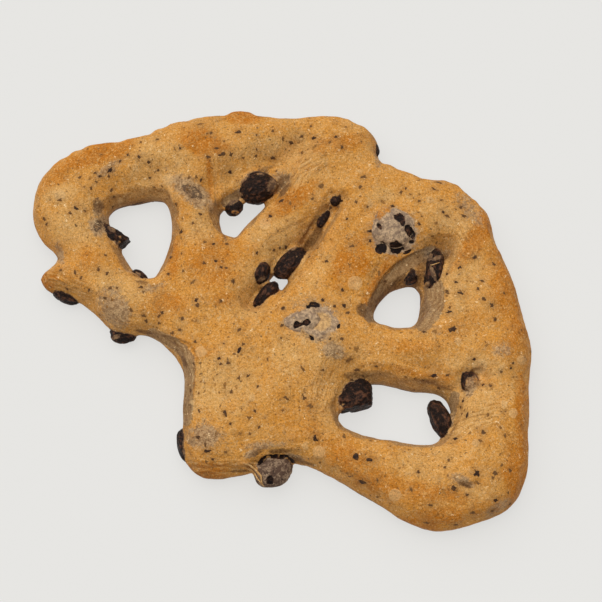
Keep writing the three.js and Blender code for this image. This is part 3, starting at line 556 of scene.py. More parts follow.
def without_scraps(mesh):
    """Keeps the largest connected part of a mesh."""
    shape = bmesh.new()
    shape.from_mesh(mesh)
    unseen = set(shape.verts)
    parts = []
    while unseen:
        part = {unseen.pop()}
        front = list(part)
        while front:
            for edge in front.pop().link_edges:
                for corner in edge.verts:
                    if corner in unseen:
                        unseen.discard(corner)
                        part.add(corner)
                        front.append(corner)
        parts.append(part)
    largest = max(parts, key=len)
    spare = [corner for part in parts if part is not largest for corner in part]
    bmesh.ops.delete(shape, geom=spare, context="VERTS")
    return as_mesh("skin", shape)


# ================= Materials =================

def linear(red, green, blue):
    """A screen colour, 0 to 255, as the light that it stands for."""
    def channel(value):
        value /= 255
        return value / 12.92 if value <= 0.04045 else ((value + 0.055) / 1.055) ** 2.4
    return (channel(red), channel(green), channel(blue), 1)


def grey(value):
    return linear(value, value, value)


class Paint:
    """One material's nodes. Inputs may be numbers, colours or other nodes' outputs."""

    def __init__(self, name):
        self.material = bpy.data.materials.new(name)
        self.material.use_nodes = True
        self.tree = self.material.node_tree
        self.shader = self.tree.nodes["Principled BSDF"]
        self.place = self.node("ShaderNodeTexCoord").outputs["Object"]

    def node(self, kind, **settings):
        node = self.tree.nodes.new(kind)
        for name, value in settings.items():
            setattr(node, name, value)
        return node

    def plug(self, socket, value):
        if isinstance(value, bpy.types.NodeSocket):
            self.tree.links.new(value, socket)
        else:
            socket.default_value = value

    def attribute(self, name):
        return self.node("ShaderNodeAttribute", attribute_name=name).outputs["Fac"]

    def maths(self, operation, a, b=0.0):
        node = self.node("ShaderNodeMath", operation=operation)
        self.plug(node.inputs[0], a)
        self.plug(node.inputs[1], b)
        return node.outputs[0]

    def times(self, a, b):
        return self.maths("MULTIPLY", a, b)

    def plus(self, a, b):
        return self.maths("ADD", a, b)

    def noise(self, size_mm, detail=2.0, rough=0.5, distortion=0.0, place=None):
        node = self.node("ShaderNodeTexNoise")
        self.plug(node.inputs["Vector"], place or self.place)
        self.plug(node.inputs["Scale"], 1 / (size_mm * MM))
        self.plug(node.inputs["Detail"], detail)
        self.plug(node.inputs["Roughness"], rough)
        self.plug(node.inputs["Distortion"], distortion)
        return node.outputs[0]

    def ramp(self, value, low, high, start=0.0, end=1.0):
        node = self.node("ShaderNodeMapRange", interpolation_type="SMOOTHSTEP")
        self.plug(node.inputs["Value"], value)
        for socket, number in zip(("From Min", "From Max", "To Min", "To Max"), (low, high, start, end)):
            self.plug(node.inputs[socket], number)
        return node.outputs["Result"]

    def mix(self, factor, a, b, blend="MIX"):
        node = self.node("ShaderNodeMix", data_type="RGBA", blend_type=blend)
        self.plug(node.inputs[0], factor)
        self.plug(node.inputs[6], a)
        self.plug(node.inputs[7], b)
        return node.outputs[2]

    def veins(self, size_mm, width, distortion=0.8):
        """Thin winding lines."""
        away = self.maths("ABSOLUTE", self.maths("SUBTRACT", self.noise(size_mm, 3, 0.6, distortion), 0.5))
        return self.ramp(away, 0, width, 1, 0)

    def specks(self, cell_mm, share, radius, jag):
        """Ragged dots: one in that share of the cells, up to that radius as a share of the cell."""
        shake = self.node("ShaderNodeTexNoise")
        self.plug(shake.inputs["Vector"], self.place)
        self.plug(shake.inputs["Scale"], 2.2 / (cell_mm * MM))
        moved = self.node("ShaderNodeVectorMath", operation="MULTIPLY_ADD")
        self.plug(moved.inputs[0], shake.outputs["Color"])
        self.plug(moved.inputs[1], (jag * cell_mm * MM,) * 3)
        self.plug(moved.inputs[2], self.place)
        cells = self.node("ShaderNodeTexVoronoi")
        self.plug(cells.inputs["Vector"], moved.outputs[0])
        self.plug(cells.inputs["Scale"], 1 / (cell_mm * MM))
        pick = self.node("ShaderNodeSeparateColor")
        self.plug(pick.inputs[0], cells.outputs["Color"])
        size = self.ramp(pick.outputs[1], 0.0, 1.0, radius * 0.4, radius)
        inside = self.maths("SUBTRACT", size, cells.outputs["Distance"])
        dot = self.ramp(inside, -0.03, 0.06)
        chosen = self.maths("LESS_THAN", pick.outputs[0], share)
        return self.times(dot, chosen)

    def fibres(self, spacing_mm, stretch):
        """Streaks along the routes of the stretched skin, from the painted places on them."""
        place = self.node("ShaderNodeCombineXYZ")
        self.plug(place.inputs[0], self.attribute("across"))
        self.plug(place.inputs[1], self.times(self.attribute("along"), 1 / stretch))
        return self.noise(spacing_mm, 3, 0.6, 0.2, place.outputs[0])

    def bump(self, height, depth_mm, under=None):
        node = self.node("ShaderNodeBump")
        self.plug(node.inputs["Height"], height)
        self.plug(node.inputs["Distance"], depth_mm * MM)
        if under:
            self.plug(node.inputs["Normal"], under)
        return node.outputs[0]

    def finish(self, colour, roughness, normal, gloss=0.3):
        self.plug(self.shader.inputs["Base Color"], colour)
        self.plug(self.shader.inputs["Roughness"], roughness)
        self.plug(self.shader.inputs["Normal"], normal)
        self.shader.inputs["Specular IOR Level"].default_value = gloss
        return self.material


GOLDEN = linear(234, 160, 64)
FLOURY = linear(236, 176, 96)
CREAM = linear(250, 203, 138)
FLAKE = linear(255, 221, 168)
TOASTED = linear(211, 131, 18)
BROWN = linear(152, 92, 28)
OVEN_TINT = linear(250, 236, 204)
WALL_AND_SHADE = linear(180, 136, 84)
STAIN = linear(146, 118, 90)
STAIN_PALE = linear(206, 172, 130)
STAIN_CORE = linear(76, 58, 48)
HALO = linear(150, 106, 62)
TORN_DOUGH = linear(206, 170, 122)
TORN_SHADE = linear(150, 114, 76)
SHADE_AND_PITS = linear(96, 62, 32)
SHADE_PALE = linear(146, 106, 62)
SPECK = linear(88, 60, 36)
SPECK_BROWN = linear(140, 94, 44)
LOW_EDGE_SHADE = linear(108, 78, 50)
FLESH_BLACK = linear(26, 14, 10)
FLESH_BROWN = linear(112, 72, 50)
FILM_PALE = linear(220, 186, 146)
FILM_GREY = linear(164, 137, 111)
FILM_TAN = linear(228, 182, 120)
FILM_SHADE = linear(188, 146, 96)
FOOT_PALE = linear(174, 145, 116)
FOOT_GREY = linear(96, 72, 57)
FILM_PORE = linear(112, 88, 72)
FILM_SPECK = linear(80, 60, 50)
CLINGING_PALE = linear(160, 124, 86)
CLINGING_DARK = linear(104, 78, 58)
FLESH_HIGHLIGHT = linear(118, 80, 56)
FLESH_PORE = linear(16, 10, 9)
FLECK_BLACK = linear(48, 32, 25)
FLECK_BROWN = linear(110, 77, 45)
FLECK_TAN = linear(178, 126, 62)
STRAND_PALE = linear(222, 180, 122)
STRAND_DARK = linear(184, 134, 76)


def film_colour(p, pale=FILM_PALE, shade=FILM_GREY, speckled=0.85):
    """Baked flour and dough, thin enough for the olive to darken it."""
    colour = p.mix(p.ramp(p.noise(2.2, 3, 0.65, 0.4), 0.42, 0.6), shade, pale)
    colour = p.mix(p.ramp(p.noise(0.8, 3, 0.7), 0.35, 0.6, 0.5 * speckled, 0), colour, FILM_PORE)
    return p.mix(p.times(p.specks(1.2, 0.45, 0.3, 0.9), speckled), colour, FILM_SPECK)


def flesh_colour(p, folds):
    return p.mix(p.ramp(folds, 0.48, 0.86), FLESH_BLACK, FLESH_BROWN)


# Sizes of the crust's patterns in millimetres, from the shading of the whole loaf down to the grain
BROAD_MM = 30
PATCHES_MM = 8
MOTTLE_MM = 2.4
ROUGH_MM = 1.8
FINE_MM = 1.1
GRAIN_MM = 0.62
FIBRE_MM = 1.1
FIBRE_STRETCH = 9  # a fibre's length, as a multiple of its width
VEINS_MM = 3.2
CURLS_MM = 2.0
# Specks: cell in millimetres, share of the cells with one, radius and raggedness, strength, colour
FLOUR_SPECKS = [(1.7, 0.34, 0.27, 1.1, 0.5, CREAM), (3.4, 0.3, 0.24, 1.4, 0.7, CREAM)]
HERB_SPECKS = [(2.3, 0.3, 0.28, 1.0, 0.75, SPECK_BROWN), (3.3, 0.16, 0.22, 0.9, 0.75, SPECK)]


def with_specks(p, colour, rows):
    for *shape, strength, speck in rows:
        colour = p.mix(p.times(p.specks(*shape), strength), colour, speck)
    return colour


def baked_colour(p, patches, mottle):
    """Golden to floury, toasted where it stood out in the oven, and the openings' walls in less baked dough
    darkened as painted shade. Returns how hot it got too.
    """
    floured = p.attribute("floured")
    paleness = p.plus(p.plus(p.noise(BROAD_MM, 2), p.times(patches, 0.8)), p.times(floured, 0.55))
    colour = p.mix(p.ramp(paleness, 0.75, 1.35), GOLDEN, FLOURY)
    browned = p.times(p.attribute("browned"), p.ramp(patches, 0.25, 0.7, 0.5, 1.1))
    heat = p.plus(p.times(p.attribute("crest"), 0.4), browned)
    heat = p.plus(heat, p.times(p.ramp(mottle, 0.4, 0.75), 0.3))
    heat = p.maths("SUBTRACT", heat, p.times(floured, 0.3))
    colour = p.mix(p.ramp(heat, 0.05, 0.9, 0, 0.9), colour, TOASTED)
    colour = p.mix(p.ramp(heat, 0.85, 1.6, 0, 0.6), colour, BROWN)
    # the openings' walls: less baked dough, darkened as painted shade
    wall = p.times(p.attribute("inner"), p.ramp(patches, 0.3, 0.7, 0.6, 0.95))
    return p.mix(wall, colour, WALL_AND_SHADE), heat


def with_fine_structure(p, colour, mottle, fine, veins, streaks):
    """Flour in the pores, pale veins and specks, browned grain, and the wrinkles of stretched skin."""
    colour = p.mix(p.ramp(mottle, 0.52, 0.72, 0, 0.5), colour, CREAM)
    colour = p.mix(p.ramp(mottle, 0.46, 0.28, 0, 0.5), colour, TOASTED)
    colour = p.mix(p.times(veins, 0.4), colour, CREAM)
    colour = p.mix(p.ramp(fine, 0.47, 0.3, 0, 0.7), colour, BROWN)
    colour = p.mix(p.ramp(fine, 0.53, 0.68, 0, 0.7), colour, CREAM)
    curls = p.times(p.veins(CURLS_MM, 0.026, 1.4), p.ramp(p.noise(6, 2), 0.42, 0.6))
    colour = p.mix(p.times(curls, 0.6), colour, CREAM)
    colour = with_specks(p, colour, FLOUR_SPECKS)
    stretched = p.attribute("stretched")
    colour = p.mix(p.times(stretched, p.ramp(streaks, 0.5, 1, 0, 0.55)), colour, CREAM)
    return p.mix(p.times(stretched, p.ramp(streaks, 0.5, 0, 0, 0.5)), colour, BROWN)


def with_marks(p, colour, mottle, fine, rough, streaks):
    """Torn dough, stains of the olives below, and painted shade in hollows, on steep faces and near the
    base.
    """
    torn = p.ramp(p.plus(p.attribute("torn"), rough), 0.4, 0.6)
    torn_colour = p.mix(streaks, TORN_SHADE, TORN_DOUGH)
    # dark pits in the torn dough, in the colour of the painted shade
    colour = p.mix(p.times(torn, 0.85), colour, p.mix(p.ramp(fine, 0.35, 0.6, 0.5, 0), torn_colour, SHADE_AND_PITS))
    stain = p.attribute("stain")
    patch = p.times(p.ramp(p.plus(stain, p.times(rough, 2.0)), 0.0, 0.7), p.ramp(stain, 0.0, 0.35))
    stain_colour = p.mix(p.ramp(p.noise(1.7, 3, 0.7, 0.6), 0.44, 0.56), STAIN, STAIN_PALE)
    colour = p.mix(p.times(patch, 0.78), colour, stain_colour)
    core = p.plus(p.times(p.attribute("core"), 0.6), p.noise(1.2, 3, 0.75, 0.8))
    colour = p.mix(p.times(p.ramp(core, 0.98, 1.12), p.times(patch, 0.8)), colour, STAIN_CORE)
    # painted shade in the hollows listed in SHADED
    hollow_shade = p.plus(p.attribute("hollow_shade"), p.times(rough, 1.2))
    colour = p.mix(p.ramp(hollow_shade, 0.1, 1.0, 0, 0.8), colour, p.mix(p.ramp(fine, 0.4, 0.6), SHADE_AND_PITS, SHADE_PALE))
    colour = p.mix(p.ramp(p.plus(p.attribute("pale"), rough), 0.2, 0.7, 0, 0.5), colour, CREAM)
    colour = p.mix(p.times(p.attribute("halo"), 0.5), colour, HALO)
    # steep faces browner: partly their own browning, partly painted shade
    colour = p.mix(p.times(p.attribute("steep"), 0.28), colour, BROWN)
    # painted shade on steep faces near the base
    low = p.plus(p.attribute("low"), p.times(mottle, 0.5))
    return p.mix(p.ramp(low, 0.7, 1.1, 0, 0.9), colour, LOW_EDGE_SHADE)


def with_grain(p, colour):
    """Specks too small to be flecks, the grain, and loose flakes."""
    colour = with_specks(p, colour, HERB_SPECKS)
    grain = p.mix(p.ramp(p.noise(GRAIN_MM, 2, 0.6), 0.3, 0.7), grey(185), grey(255))
    colour = p.mix(0.6, colour, grain, "MULTIPLY")
    flaked = p.ramp(p.noise(5, 2), 0.4, 0.6, 0.55, 1)
    return p.mix(p.times(p.specks(2.6, 0.3, 0.24, 1.8), flaked), colour, FLAKE)


def with_films(p, colour, mottle, rough):
    """The dough's film over an olive, and its flesh where that is torn. Returns where it is bare too."""
    edge = p.times(p.maths("SUBTRACT", p.noise(1.6, 3, 0.65), 0.5), 0.5)
    film = p.ramp(p.plus(p.attribute("film"), edge), 0.42, 0.56)
    dough = p.ramp(p.plus(p.attribute("dough"), rough), 0.35, 0.65)
    films = p.mix(dough, film_colour(p), film_colour(p, FILM_TAN, FILM_SHADE, 0.2))
    colour = p.mix(p.times(film, 0.9), colour, films)
    bare = p.ramp(p.plus(p.attribute("bare"), edge), 0.46, 0.56)
    return p.mix(bare, colour, flesh_colour(p, mottle)), bare


def crust_material():
    p = Paint("crust")
    patches = p.noise(PATCHES_MM, 3, 0.6, 0.4)
    mottle = p.noise(MOTTLE_MM, 4, 0.65, 0.3)
    fine = p.noise(FINE_MM, 3, 0.7, 0.5)
    rough = p.maths("SUBTRACT", p.noise(ROUGH_MM, 4, 0.7, 0.6), 0.5)
    veins = p.times(p.veins(VEINS_MM, 0.03), p.ramp(p.noise(11, 2), 0.42, 0.6))
    fibres = p.fibres(FIBRE_MM, FIBRE_STRETCH)
    streaks = p.ramp(fibres, 0.3, 0.7)

    colour, heat = baked_colour(p, patches, mottle)
    colour = with_fine_structure(p, colour, mottle, fine, veins, streaks)
    colour = p.mix(p.ramp(heat, 0.25, 0.85, 0, 0.9), colour, OVEN_TINT, "MULTIPLY")
    colour = with_marks(p, colour, mottle, fine, rough, streaks)
    colour = with_grain(p, colour)
    colour, bare = with_films(p, colour, mottle, rough)

    normal = p.bump(p.noise(3.4, 3, 0.6), 0.9)
    normal = p.bump(p.times(p.attribute("stretched"), fibres), 0.8, normal)
    normal = p.bump(mottle, 0.6, normal)
    normal = p.bump(fine, 0.5, normal)
    normal = p.bump(veins, 0.12, normal)
    roughness = p.ramp(patches, 0.3, 0.7, 0.6, 0.8)
    return p.finish(colour, p.maths("SUBTRACT", roughness, p.times(bare, 0.15)), normal, 0.2)


def olive_material(name, pale, shade, speckled=0.85):
    p = Paint(name)
    folds = p.noise(2.4, 3, 0.6, 0.4)
    grain = p.noise(0.7, 3, 0.7, 0.5)
    ridge = p.attribute("ridge")
    # painted light and shade: the folds' ridges lighter and the hollows between them darker
    colour = flesh_colour(p, p.plus(folds, p.times(ridge, 0.3)))
    # painted highlights: light brown specks on the flesh's wrinkles
    colour = p.mix(p.ramp(grain, 0.54, 0.7, 0, 0.6), colour, FLESH_HIGHLIGHT)
    colour = p.mix(p.ramp(grain, 0.46, 0.32, 0, 0.85), colour, FLESH_PORE)
    edge = p.times(p.maths("SUBTRACT", p.noise(1.4, 3, 0.7), 0.5), 0.9)
    film = p.ramp(p.plus(p.attribute("film"), p.plus(edge, p.times(ridge, 0.15))), 0.42, 0.58)
    colour = p.mix(film, colour, film_colour(p, pale, shade, speckled))
    normal = p.bump(folds, 0.9)
    normal = p.bump(grain, 0.7, normal)
    roughness = p.plus(p.times(film, 0.3), p.ramp(folds, 0.3, 0.7, 0.36, 0.5))
    return p.finish(colour, roughness, normal, 0.18)


def fleck_material():
    p = Paint("fleck")
    tone = p.plus(p.attribute("tone"), p.times(p.maths("SUBTRACT", p.noise(1.0, 3, 0.7), 0.5), 1.6))
    colour = p.mix(p.ramp(tone, 0.0, 0.7), FLECK_BLACK, FLECK_BROWN)
    colour = p.mix(p.ramp(tone, 0.6, 1.4), colour, FLECK_TAN)
    return p.finish(colour, p.ramp(tone, 0.2, 1.2, 0.55, 0.8), p.bump(p.noise(0.7, 2), 0.2), 0.1)


def strand_material():
    p = Paint("strand")
    colour = p.mix(p.ramp(p.noise(1.2, 3), 0.35, 0.65), STRAND_PALE, STRAND_DARK)
    return p.finish(colour, p.ramp(p.noise(3, 1), 0.3, 0.7, 0.7, 0.85), p.bump(p.noise(0.8, 2), 0.2), 0.1)


# ================= The crust =================

def crust_blank():
    """The loaf's solid with its olives, made into even cells and rounded off."""
    whole = welded("loaf")
    for name in OLIVES:
        olive = welded(name)
        swell(olive, OLIVE_BEDDING)
        whole.from_mesh(as_mesh("bedding", olive))
    mesh = with_modifier(as_mesh("whole", whole), "REMESH", mode="VOXEL", voxel_size=CRUST_CELL)
    skin = Skin(with_coarse_base(without_scraps(mesh)))
    on_base = skin.points[:, 2] < BASE_BAND
    skin.ease(EASING)
    skin.points[on_base, 2] = 0
    return skin


def with_coarse_base(mesh):
    """The mesh with large cells on the flat base, inside a rim that keeps its small ones."""
    skin = Skin(mesh)
    inner = skin.points[:, 2] < BASE_BAND
    for _ in range(BASE_RIM):
        a, b = skin.edges.T
        beside_others = np.zeros(len(inner), bool)
        beside_others[a[~inner[b]]] = True
        beside_others[b[~inner[a]]] = True
        inner = inner & ~beside_others
    part = np.nonzero(inner)[0].tolist()
    left = 1 - (1 - BASE_LEFT) * len(part) / len(inner)
    return with_modifier(mesh, "DECIMATE", part, decimate_type="COLLAPSE", ratio=left)


def olive_distance(points):
    """Distance to the nearest olive's surface, below 0 inside one, and the way out of it."""
    trees = []
    for name in OLIVES:
        low, high = (np.array(corner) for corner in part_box(name))
        shape = welded(name)
        trees.append((BVHTree.FromBMesh(shape), low, high))
        shape.free()
    reach = 4 * MM
    distance = np.full(len(points), reach)
    outwards = np.zeros((len(points), 3))
    for tree, low, high in trees:
        near = np.all((points > low - reach) & (points < high + reach), axis=1)
        for i in np.nonzero(near)[0]:
            point = Vector(points[i])
            spot, normal, _, gap = tree.find_nearest(point)
            signed = gap if (point - spot).dot(normal) > 0 else -gap
            if signed < distance[i]:
                distance[i] = signed
                outwards[i] = normal
    return distance, outwards


def shape_crust(skin):
    """Lumps, creases, steps and blisters."""
    for i, (height, size) in enumerate(LUMPS):
        skin.push(height * noise_at(skin.points, size, i))
    skin.look()
    pixel_mm = PIXEL / MM
    relief = np.zeros(len(skin.points))
    for route, depth, half_width in CREASES:
        distance, _, passed = follow(skin.pixels, route)
        ends = np.sqrt(np.clip(np.sin(math.pi * np.clip(passed, *CREASE_ENDS)), 0, 1))
        relief -= depth * ends * np.exp(-((distance * pixel_mm / half_width) ** 2))
    for route, height, half_width in LIPS:
        _, to_left, passed = follow(skin.pixels, route)
        across = to_left * pixel_mm / half_width
        step = STEP_GAIN * np.tanh(STEP_SHARPNESS * across) * np.exp(-np.abs(across))
        relief += height * np.sin(math.pi * passed) * step
    for *ellipse, depth in DENTS:
        relief -= depth * np.exp(-(ellipse_distance(skin.pixels, *ellipse) ** 2))
    pale = np.zeros(len(skin.points))
    for u, v, radius, height, paleness in BLISTERS:
        away = np.hypot(*(skin.pixels - (u, v)).T) / radius
        dome = np.sqrt(np.clip(1 - away**2, 0, 1))
        relief += height * dome
        pale = np.maximum(pale, paleness * smoothstep(0, 0.7, dome))
    skin.push(relief * skin.facing * MM)
    skin.pale = pale * skin.facing


def bed_olives(skin):
    """Sinks the skin below each olive where the olive shows."""
    distance, outwards = olive_distance(skin.points)
    ragged = distance + SINK_RAGGED * noise_at(skin.points, 2 * MM, SINK_SEED)
    sink = SINK * (1 - smoothstep(SINK_WHOLE, SINK_FROM, ragged))
    sink *= 1 - smoothstep(0.5, 0.8, inside_marks(skin.pixels, COVERED) * skin.facing)
    skin.points = skin.points - sink[:, None] * outwards
    skin.clear = distance


def tear_film(skin, depth):
    """Opens the torn places of the film to that depth. Returns how far each point lies inside one."""
    holes = [(*hole, 1) for hole in FILM_HOLES]
    ragged = 0.3 * noise_at(skin.points, 1.9 * MM, HOLE_SEED)
    bare = inside_marks(skin.pixels, holes, ragged) * skin.facing
    skin.push(-depth * smoothstep(0.3, 0.7, bare))
    return bare


def inside_box(points):
    """The points, with those beyond the CAD's box moved onto it."""
    low, high = (np.array(corner) for corner in CAD_BOX)
    return np.clip(points, low, high)


def inside_openings(skin):
    """1 on the steep walls round the loaf's openings, 0 elsewhere."""
    gap = np.full(len(skin.points), np.inf)
    for low, high in OPENINGS:
        beyond = np.maximum(np.array(low[:2]) - skin.points[:, :2], skin.points[:, :2] - np.array(high[:2]))
        gap = np.minimum(gap, np.linalg.norm(np.maximum(beyond, 0), axis=1))
    steep = 1 - smoothstep(0.3, 0.85, skin.normals()[:, 2])
    return steep * (1 - smoothstep(*WALL_REACH, gap))


def paint_crust(skin):
    skin.look()
    pixels, facing = skin.pixels, skin.facing
    broad_edge = noise_at(skin.points, 6 * MM, EDGE_SEED)
    fine_edge = noise_at(skin.points, 2.5 * MM, EDGE_SEED + 1)
    ragged = 0.3 * broad_edge + 0.25 * fine_edge
    near_olive = np.exp(-np.clip(skin.clear - OLIVE_BEDDING, 0, 1) / STAIN_REACH)
    stains = inside_marks(pixels, STAINS, ragged) * facing
    skin.paint("stain", np.maximum(stains, 0.5 * near_olive))
    skin.paint("core", np.maximum(smoothstep(0.6, 1.0, stains), near_olive))
    skin.paint("browned", inside_marks(pixels, BROWNED, ragged) * facing)
    skin.paint("floured", inside_marks(pixels, FLOURED, ragged) * facing)
    # painted shade for the hollows listed in SHADED
    skin.paint("hollow_shade", smoothstep(0.1, 0.8, inside_marks(pixels, SHADED, ragged)) * facing)
    skin.paint("film", inside_marks(pixels, FILMS, 0.15 * ragged) * facing)
    skin.paint("dough", inside_marks(pixels, [THICK_FILM], 0.4 * ragged))
    skin.paint("pale", skin.pale)
    torn = np.zeros(len(skin.points))
    for route, half_width in TORN:
        distance, _, _ = follow(pixels, route)
        torn = np.maximum(torn, np.clip(1.5 - distance / half_width, 0, 1))
    skin.paint("torn", torn * facing)

    across = np.zeros(len(skin.points))
    along = np.zeros(len(skin.points))
    stretched = np.zeros(len(skin.points))
    for route, half_width, strength in STRETCHED:
        distance, to_left, passed = follow(pixels, route)
        here = strength * (1 - smoothstep(0.5, 1.1, distance / half_width + 0.5 * ragged))
        length = np.hypot(*np.diff(np.array(route, float), axis=0).T).sum()
        stronger = here > stretched
        across = np.where(stronger, to_left * PIXEL, across)
        along = np.where(stronger, passed * length * PIXEL, along)
        stretched = np.maximum(here, stretched)
    skin.paint("across", across)
    skin.paint("along", along)
    skin.paint("stretched", stretched * facing)

    normals = skin.normals()
    broad = skin.around(skin.points, CREST_PASSES)
    skin.paint("crest", np.sum((skin.points - broad) * normals, axis=1) / MM)
    # painted shade on the openings' walls and on steep faces, left off the places in LIT
    unlit = 1 - np.clip(inside_marks(pixels, LIT), 0, 1) * facing
    skin.paint("inner", unlit * inside_openings(skin))
    # steep faces: partly their own browning, partly painted shade
    steep = unlit * (1 - smoothstep(0.05, 0.75, normals[:, 2]))
    skin.paint("steep", steep)
    # painted shade on steep faces near the base
    skin.paint("low", steep * np.clip(1.3 - skin.points[:, 2] / LOW_BAND, 0, 1))


# ================= Flecks =================

def fleck_spots(skin, tree):
    """Where each fleck lies: point, way out, length, width, turn and tone. The named ones come first."""
    chance = random.Random(SCATTER_SEED)
    spots = []
    for u, v, length, width, turn, tone in FLECKS:
        spot, normal, _, _ = tree.ray_cast(CAMERA_AT, photo_ray(u, v))
        if spot:
            size = (length + FLECK_RIM) * PIXEL, (width + FLECK_RIM) * PIXEL
            spots.append((spot, normal, *size, math.radians(turn), tone))
    polygons = skin.mesh.polygons
    areas = np.empty(len(polygons))
    polygons.foreach_get("area", areas)
    starts = np.cumsum(areas) / areas.sum()
    named = [spot for spot, *_ in spots]
    while len(spots) < len(named) + FLECK_COUNT:
        polygon = polygons[int(np.searchsorted(starts, chance.random()))]
        if polygon.normal.z < -0.5 or min(skin.clear[i] for i in polygon.vertices) < CLEAR_OF_OLIVE:
            continue
        shortest, longest = FLECK_LENGTHS
        length = shortest + (longest - shortest) * chance.random() ** MOSTLY_SHORT
        width = length * chance.uniform(*FLECK_WIDTHS)
        turn = chance.uniform(0, math.pi)
        tone = DARKEST + TONE_SPAN * chance.random() ** MOSTLY_BROWN
        centre = polygon.center.copy()
        if all((centre - other).length > FLECK_SPACING for other in named):
            spots.append((centre, polygon.normal.copy(), length, width, turn, tone))
    return spots


def add_flecks(skin, tree, material):
    SIDES = 11
    RINGS = [(0.6, 0.1 * MM, 0.1), (1.0, -0.1 * MM, 0.6)]  # share of the radius, height, how much browner
    TOP = 0.12 * MM
    BOTTOM = -0.5 * MM
    LIFT = 2 * MM
    JAGS = (0.4, 1.25)  # how far the rim is drawn in and out, as a share of its radius
    HALO_SHARE = 0.62  # half-width of the browner ring, as a share of the fleck's length
    HALO_RIM = 0.6 * MM  # and what is added to it
    chance = random.Random(SCATTER_SEED + 1)
    points, faces, tones = [], [], []
    halo = np.zeros(len(skin.points))

    def on_crust(place, normal, height):
        spot = tree.ray_cast(place + LIFT * normal, -normal, 2 * LIFT)[0]
        return (spot or place) + height * normal

    for spot, normal, length, width, turn, tone in fleck_spots(skin, tree):
        across = (VIEW_RIGHT - VIEW_RIGHT.dot(normal) * normal).normalized()
        up = normal.cross(across)
        first = len(points)
        points.append(on_crust(spot, normal, TOP))
        jags = [chance.uniform(*JAGS) for _ in range(SIDES)]
        tones.append(tone)
        for share, height, browner in RINGS:
            tones += [tone + browner] * SIDES
            for side, jag in enumerate(jags):
                angle = 2 * math.pi * side / SIDES
                x = math.cos(angle) * length / 2 * share * jag
                y = math.sin(angle) * width / 2 * share * jag
                c, s = math.cos(turn), math.sin(turn)
                place = spot + (x * c - y * s) * across + (x * s + y * c) * up
                points.append(on_crust(place, normal, height))
        points.append(spot + BOTTOM * normal)
        points[first:] = [inside_box(point) for point in points[first:]]
        tones.append(tone)
        inner, outer, last = first + 1, first + 1 + SIDES, first + 1 + 2 * SIDES
        for side in range(SIDES):
            after = (side + 1) % SIDES
            faces.append((first, inner + side, inner + after))
            faces.append((inner + side, outer + side, outer + after, inner + after))
            faces.append((outer + side, last, outer + after))
        away = np.linalg.norm(skin.points - np.array(spot), axis=1)
        ring = np.exp(-((away / (HALO_SHARE * length + HALO_RIM)) ** 2))
        halo = np.maximum(halo, (1 - 0.5 * tone) * ring)
    mesh = mesh_from("flecks", points, faces, material)
    mesh.attributes.new("tone", "FLOAT", "POINT").data.foreach_set("value", tones)
    skin.paint("halo", halo)
    return add_piece("flecks", mesh, "olive")


# ================= Olives =================

OLIVE_LEVELS = {True: 2, False: 3}  # subdivisions, by whether its solid is already fine
OLIVE_FINE = 200  # faces from which a solid counts as fine
OLIVE_SWELL = 0.35 * MM
OLIVE_FOLDS = [(0.4 * MM, 2.9 * MM), (0.18 * MM, 1.3 * MM)]  # depth, and distance between the folds
FOLDS_ALONG = 0.7  # how much the folds are drawn out along the olive
HOLE_DEPTH = 0.9 * MM
FILM_REACH = 0.8 * MM  # how far torn dough clings to an olive round the place where it comes out
CLINGING = 0.75  # how thick it is where it starts
FILMED = {"olive_top_dusted": 1.0, "olive_foot": 0.64, "olive_top_covered": 1.0}
FILMED_FOLDS = 0.5  # how deep the folds are under a film, as a share of the others
HOLE_CLEARS = 1.2  # more than any film's thickness, so that a torn place is bare
DUSTED_SLOT = ("olive_top_dusted", "olive_foot")


def fold_olive(skin, number, gentle):
    """Draws the skin into folds that run along the olive. Returns the ridges between them."""
    middle = skin.points.mean(axis=0)
    away = skin.points - middle
    long_way = np.linalg.svd(away, full_matrices=False)[2][0]
    squeezed = away - FOLDS_ALONG * (away @ long_way)[:, None] * long_way
    ridge = np.zeros(len(skin.points))
    for i, (depth, size) in enumerate(OLIVE_FOLDS):
        folds = 2 * np.abs(noise_at(squeezed, size, FOLD_SEED + number * 2 + i)) ** 0.7 - 0.6
        skin.push(gentle * depth * folds)
        ridge += folds / len(OLIVE_FOLDS)
    return ridge


def olive_skin(name, number, material, crust_tree):
    shape = welded(name)
    swell(shape, OLIVE_SWELL)
    levels = OLIVE_LEVELS[len(shape.faces) > OLIVE_FINE]
    skin = Skin(with_modifier(as_mesh(name, shape), "SUBSURF", levels=levels))
    ridge = fold_olive(skin, number, FILMED_FOLDS if name in FILMED else 1.0)
    skin.look()
    gap = np.array([crust_tree.find_nearest(Vector(point))[3] for point in skin.points])
    film = np.maximum(FILMED.get(name, 0.0), CLINGING * (1 - gap / FILM_REACH))
    film = np.maximum(film, inside_marks(skin.pixels, OLIVE_FILMS) * skin.facing)
    if name in FILMED:
        film = film - HOLE_CLEARS * smoothstep(0.2, 0.8, tear_film(skin, HOLE_DEPTH))
    skin.points = inside_box(skin.points)
    skin.paint("film", film)
    skin.paint("ridge", ridge)
    slot = "olive_dusted" if name in DUSTED_SLOT else "olive"
    skin.piece(name + "_skin", material, slot, name)
    return skin


# ================= Strands =================

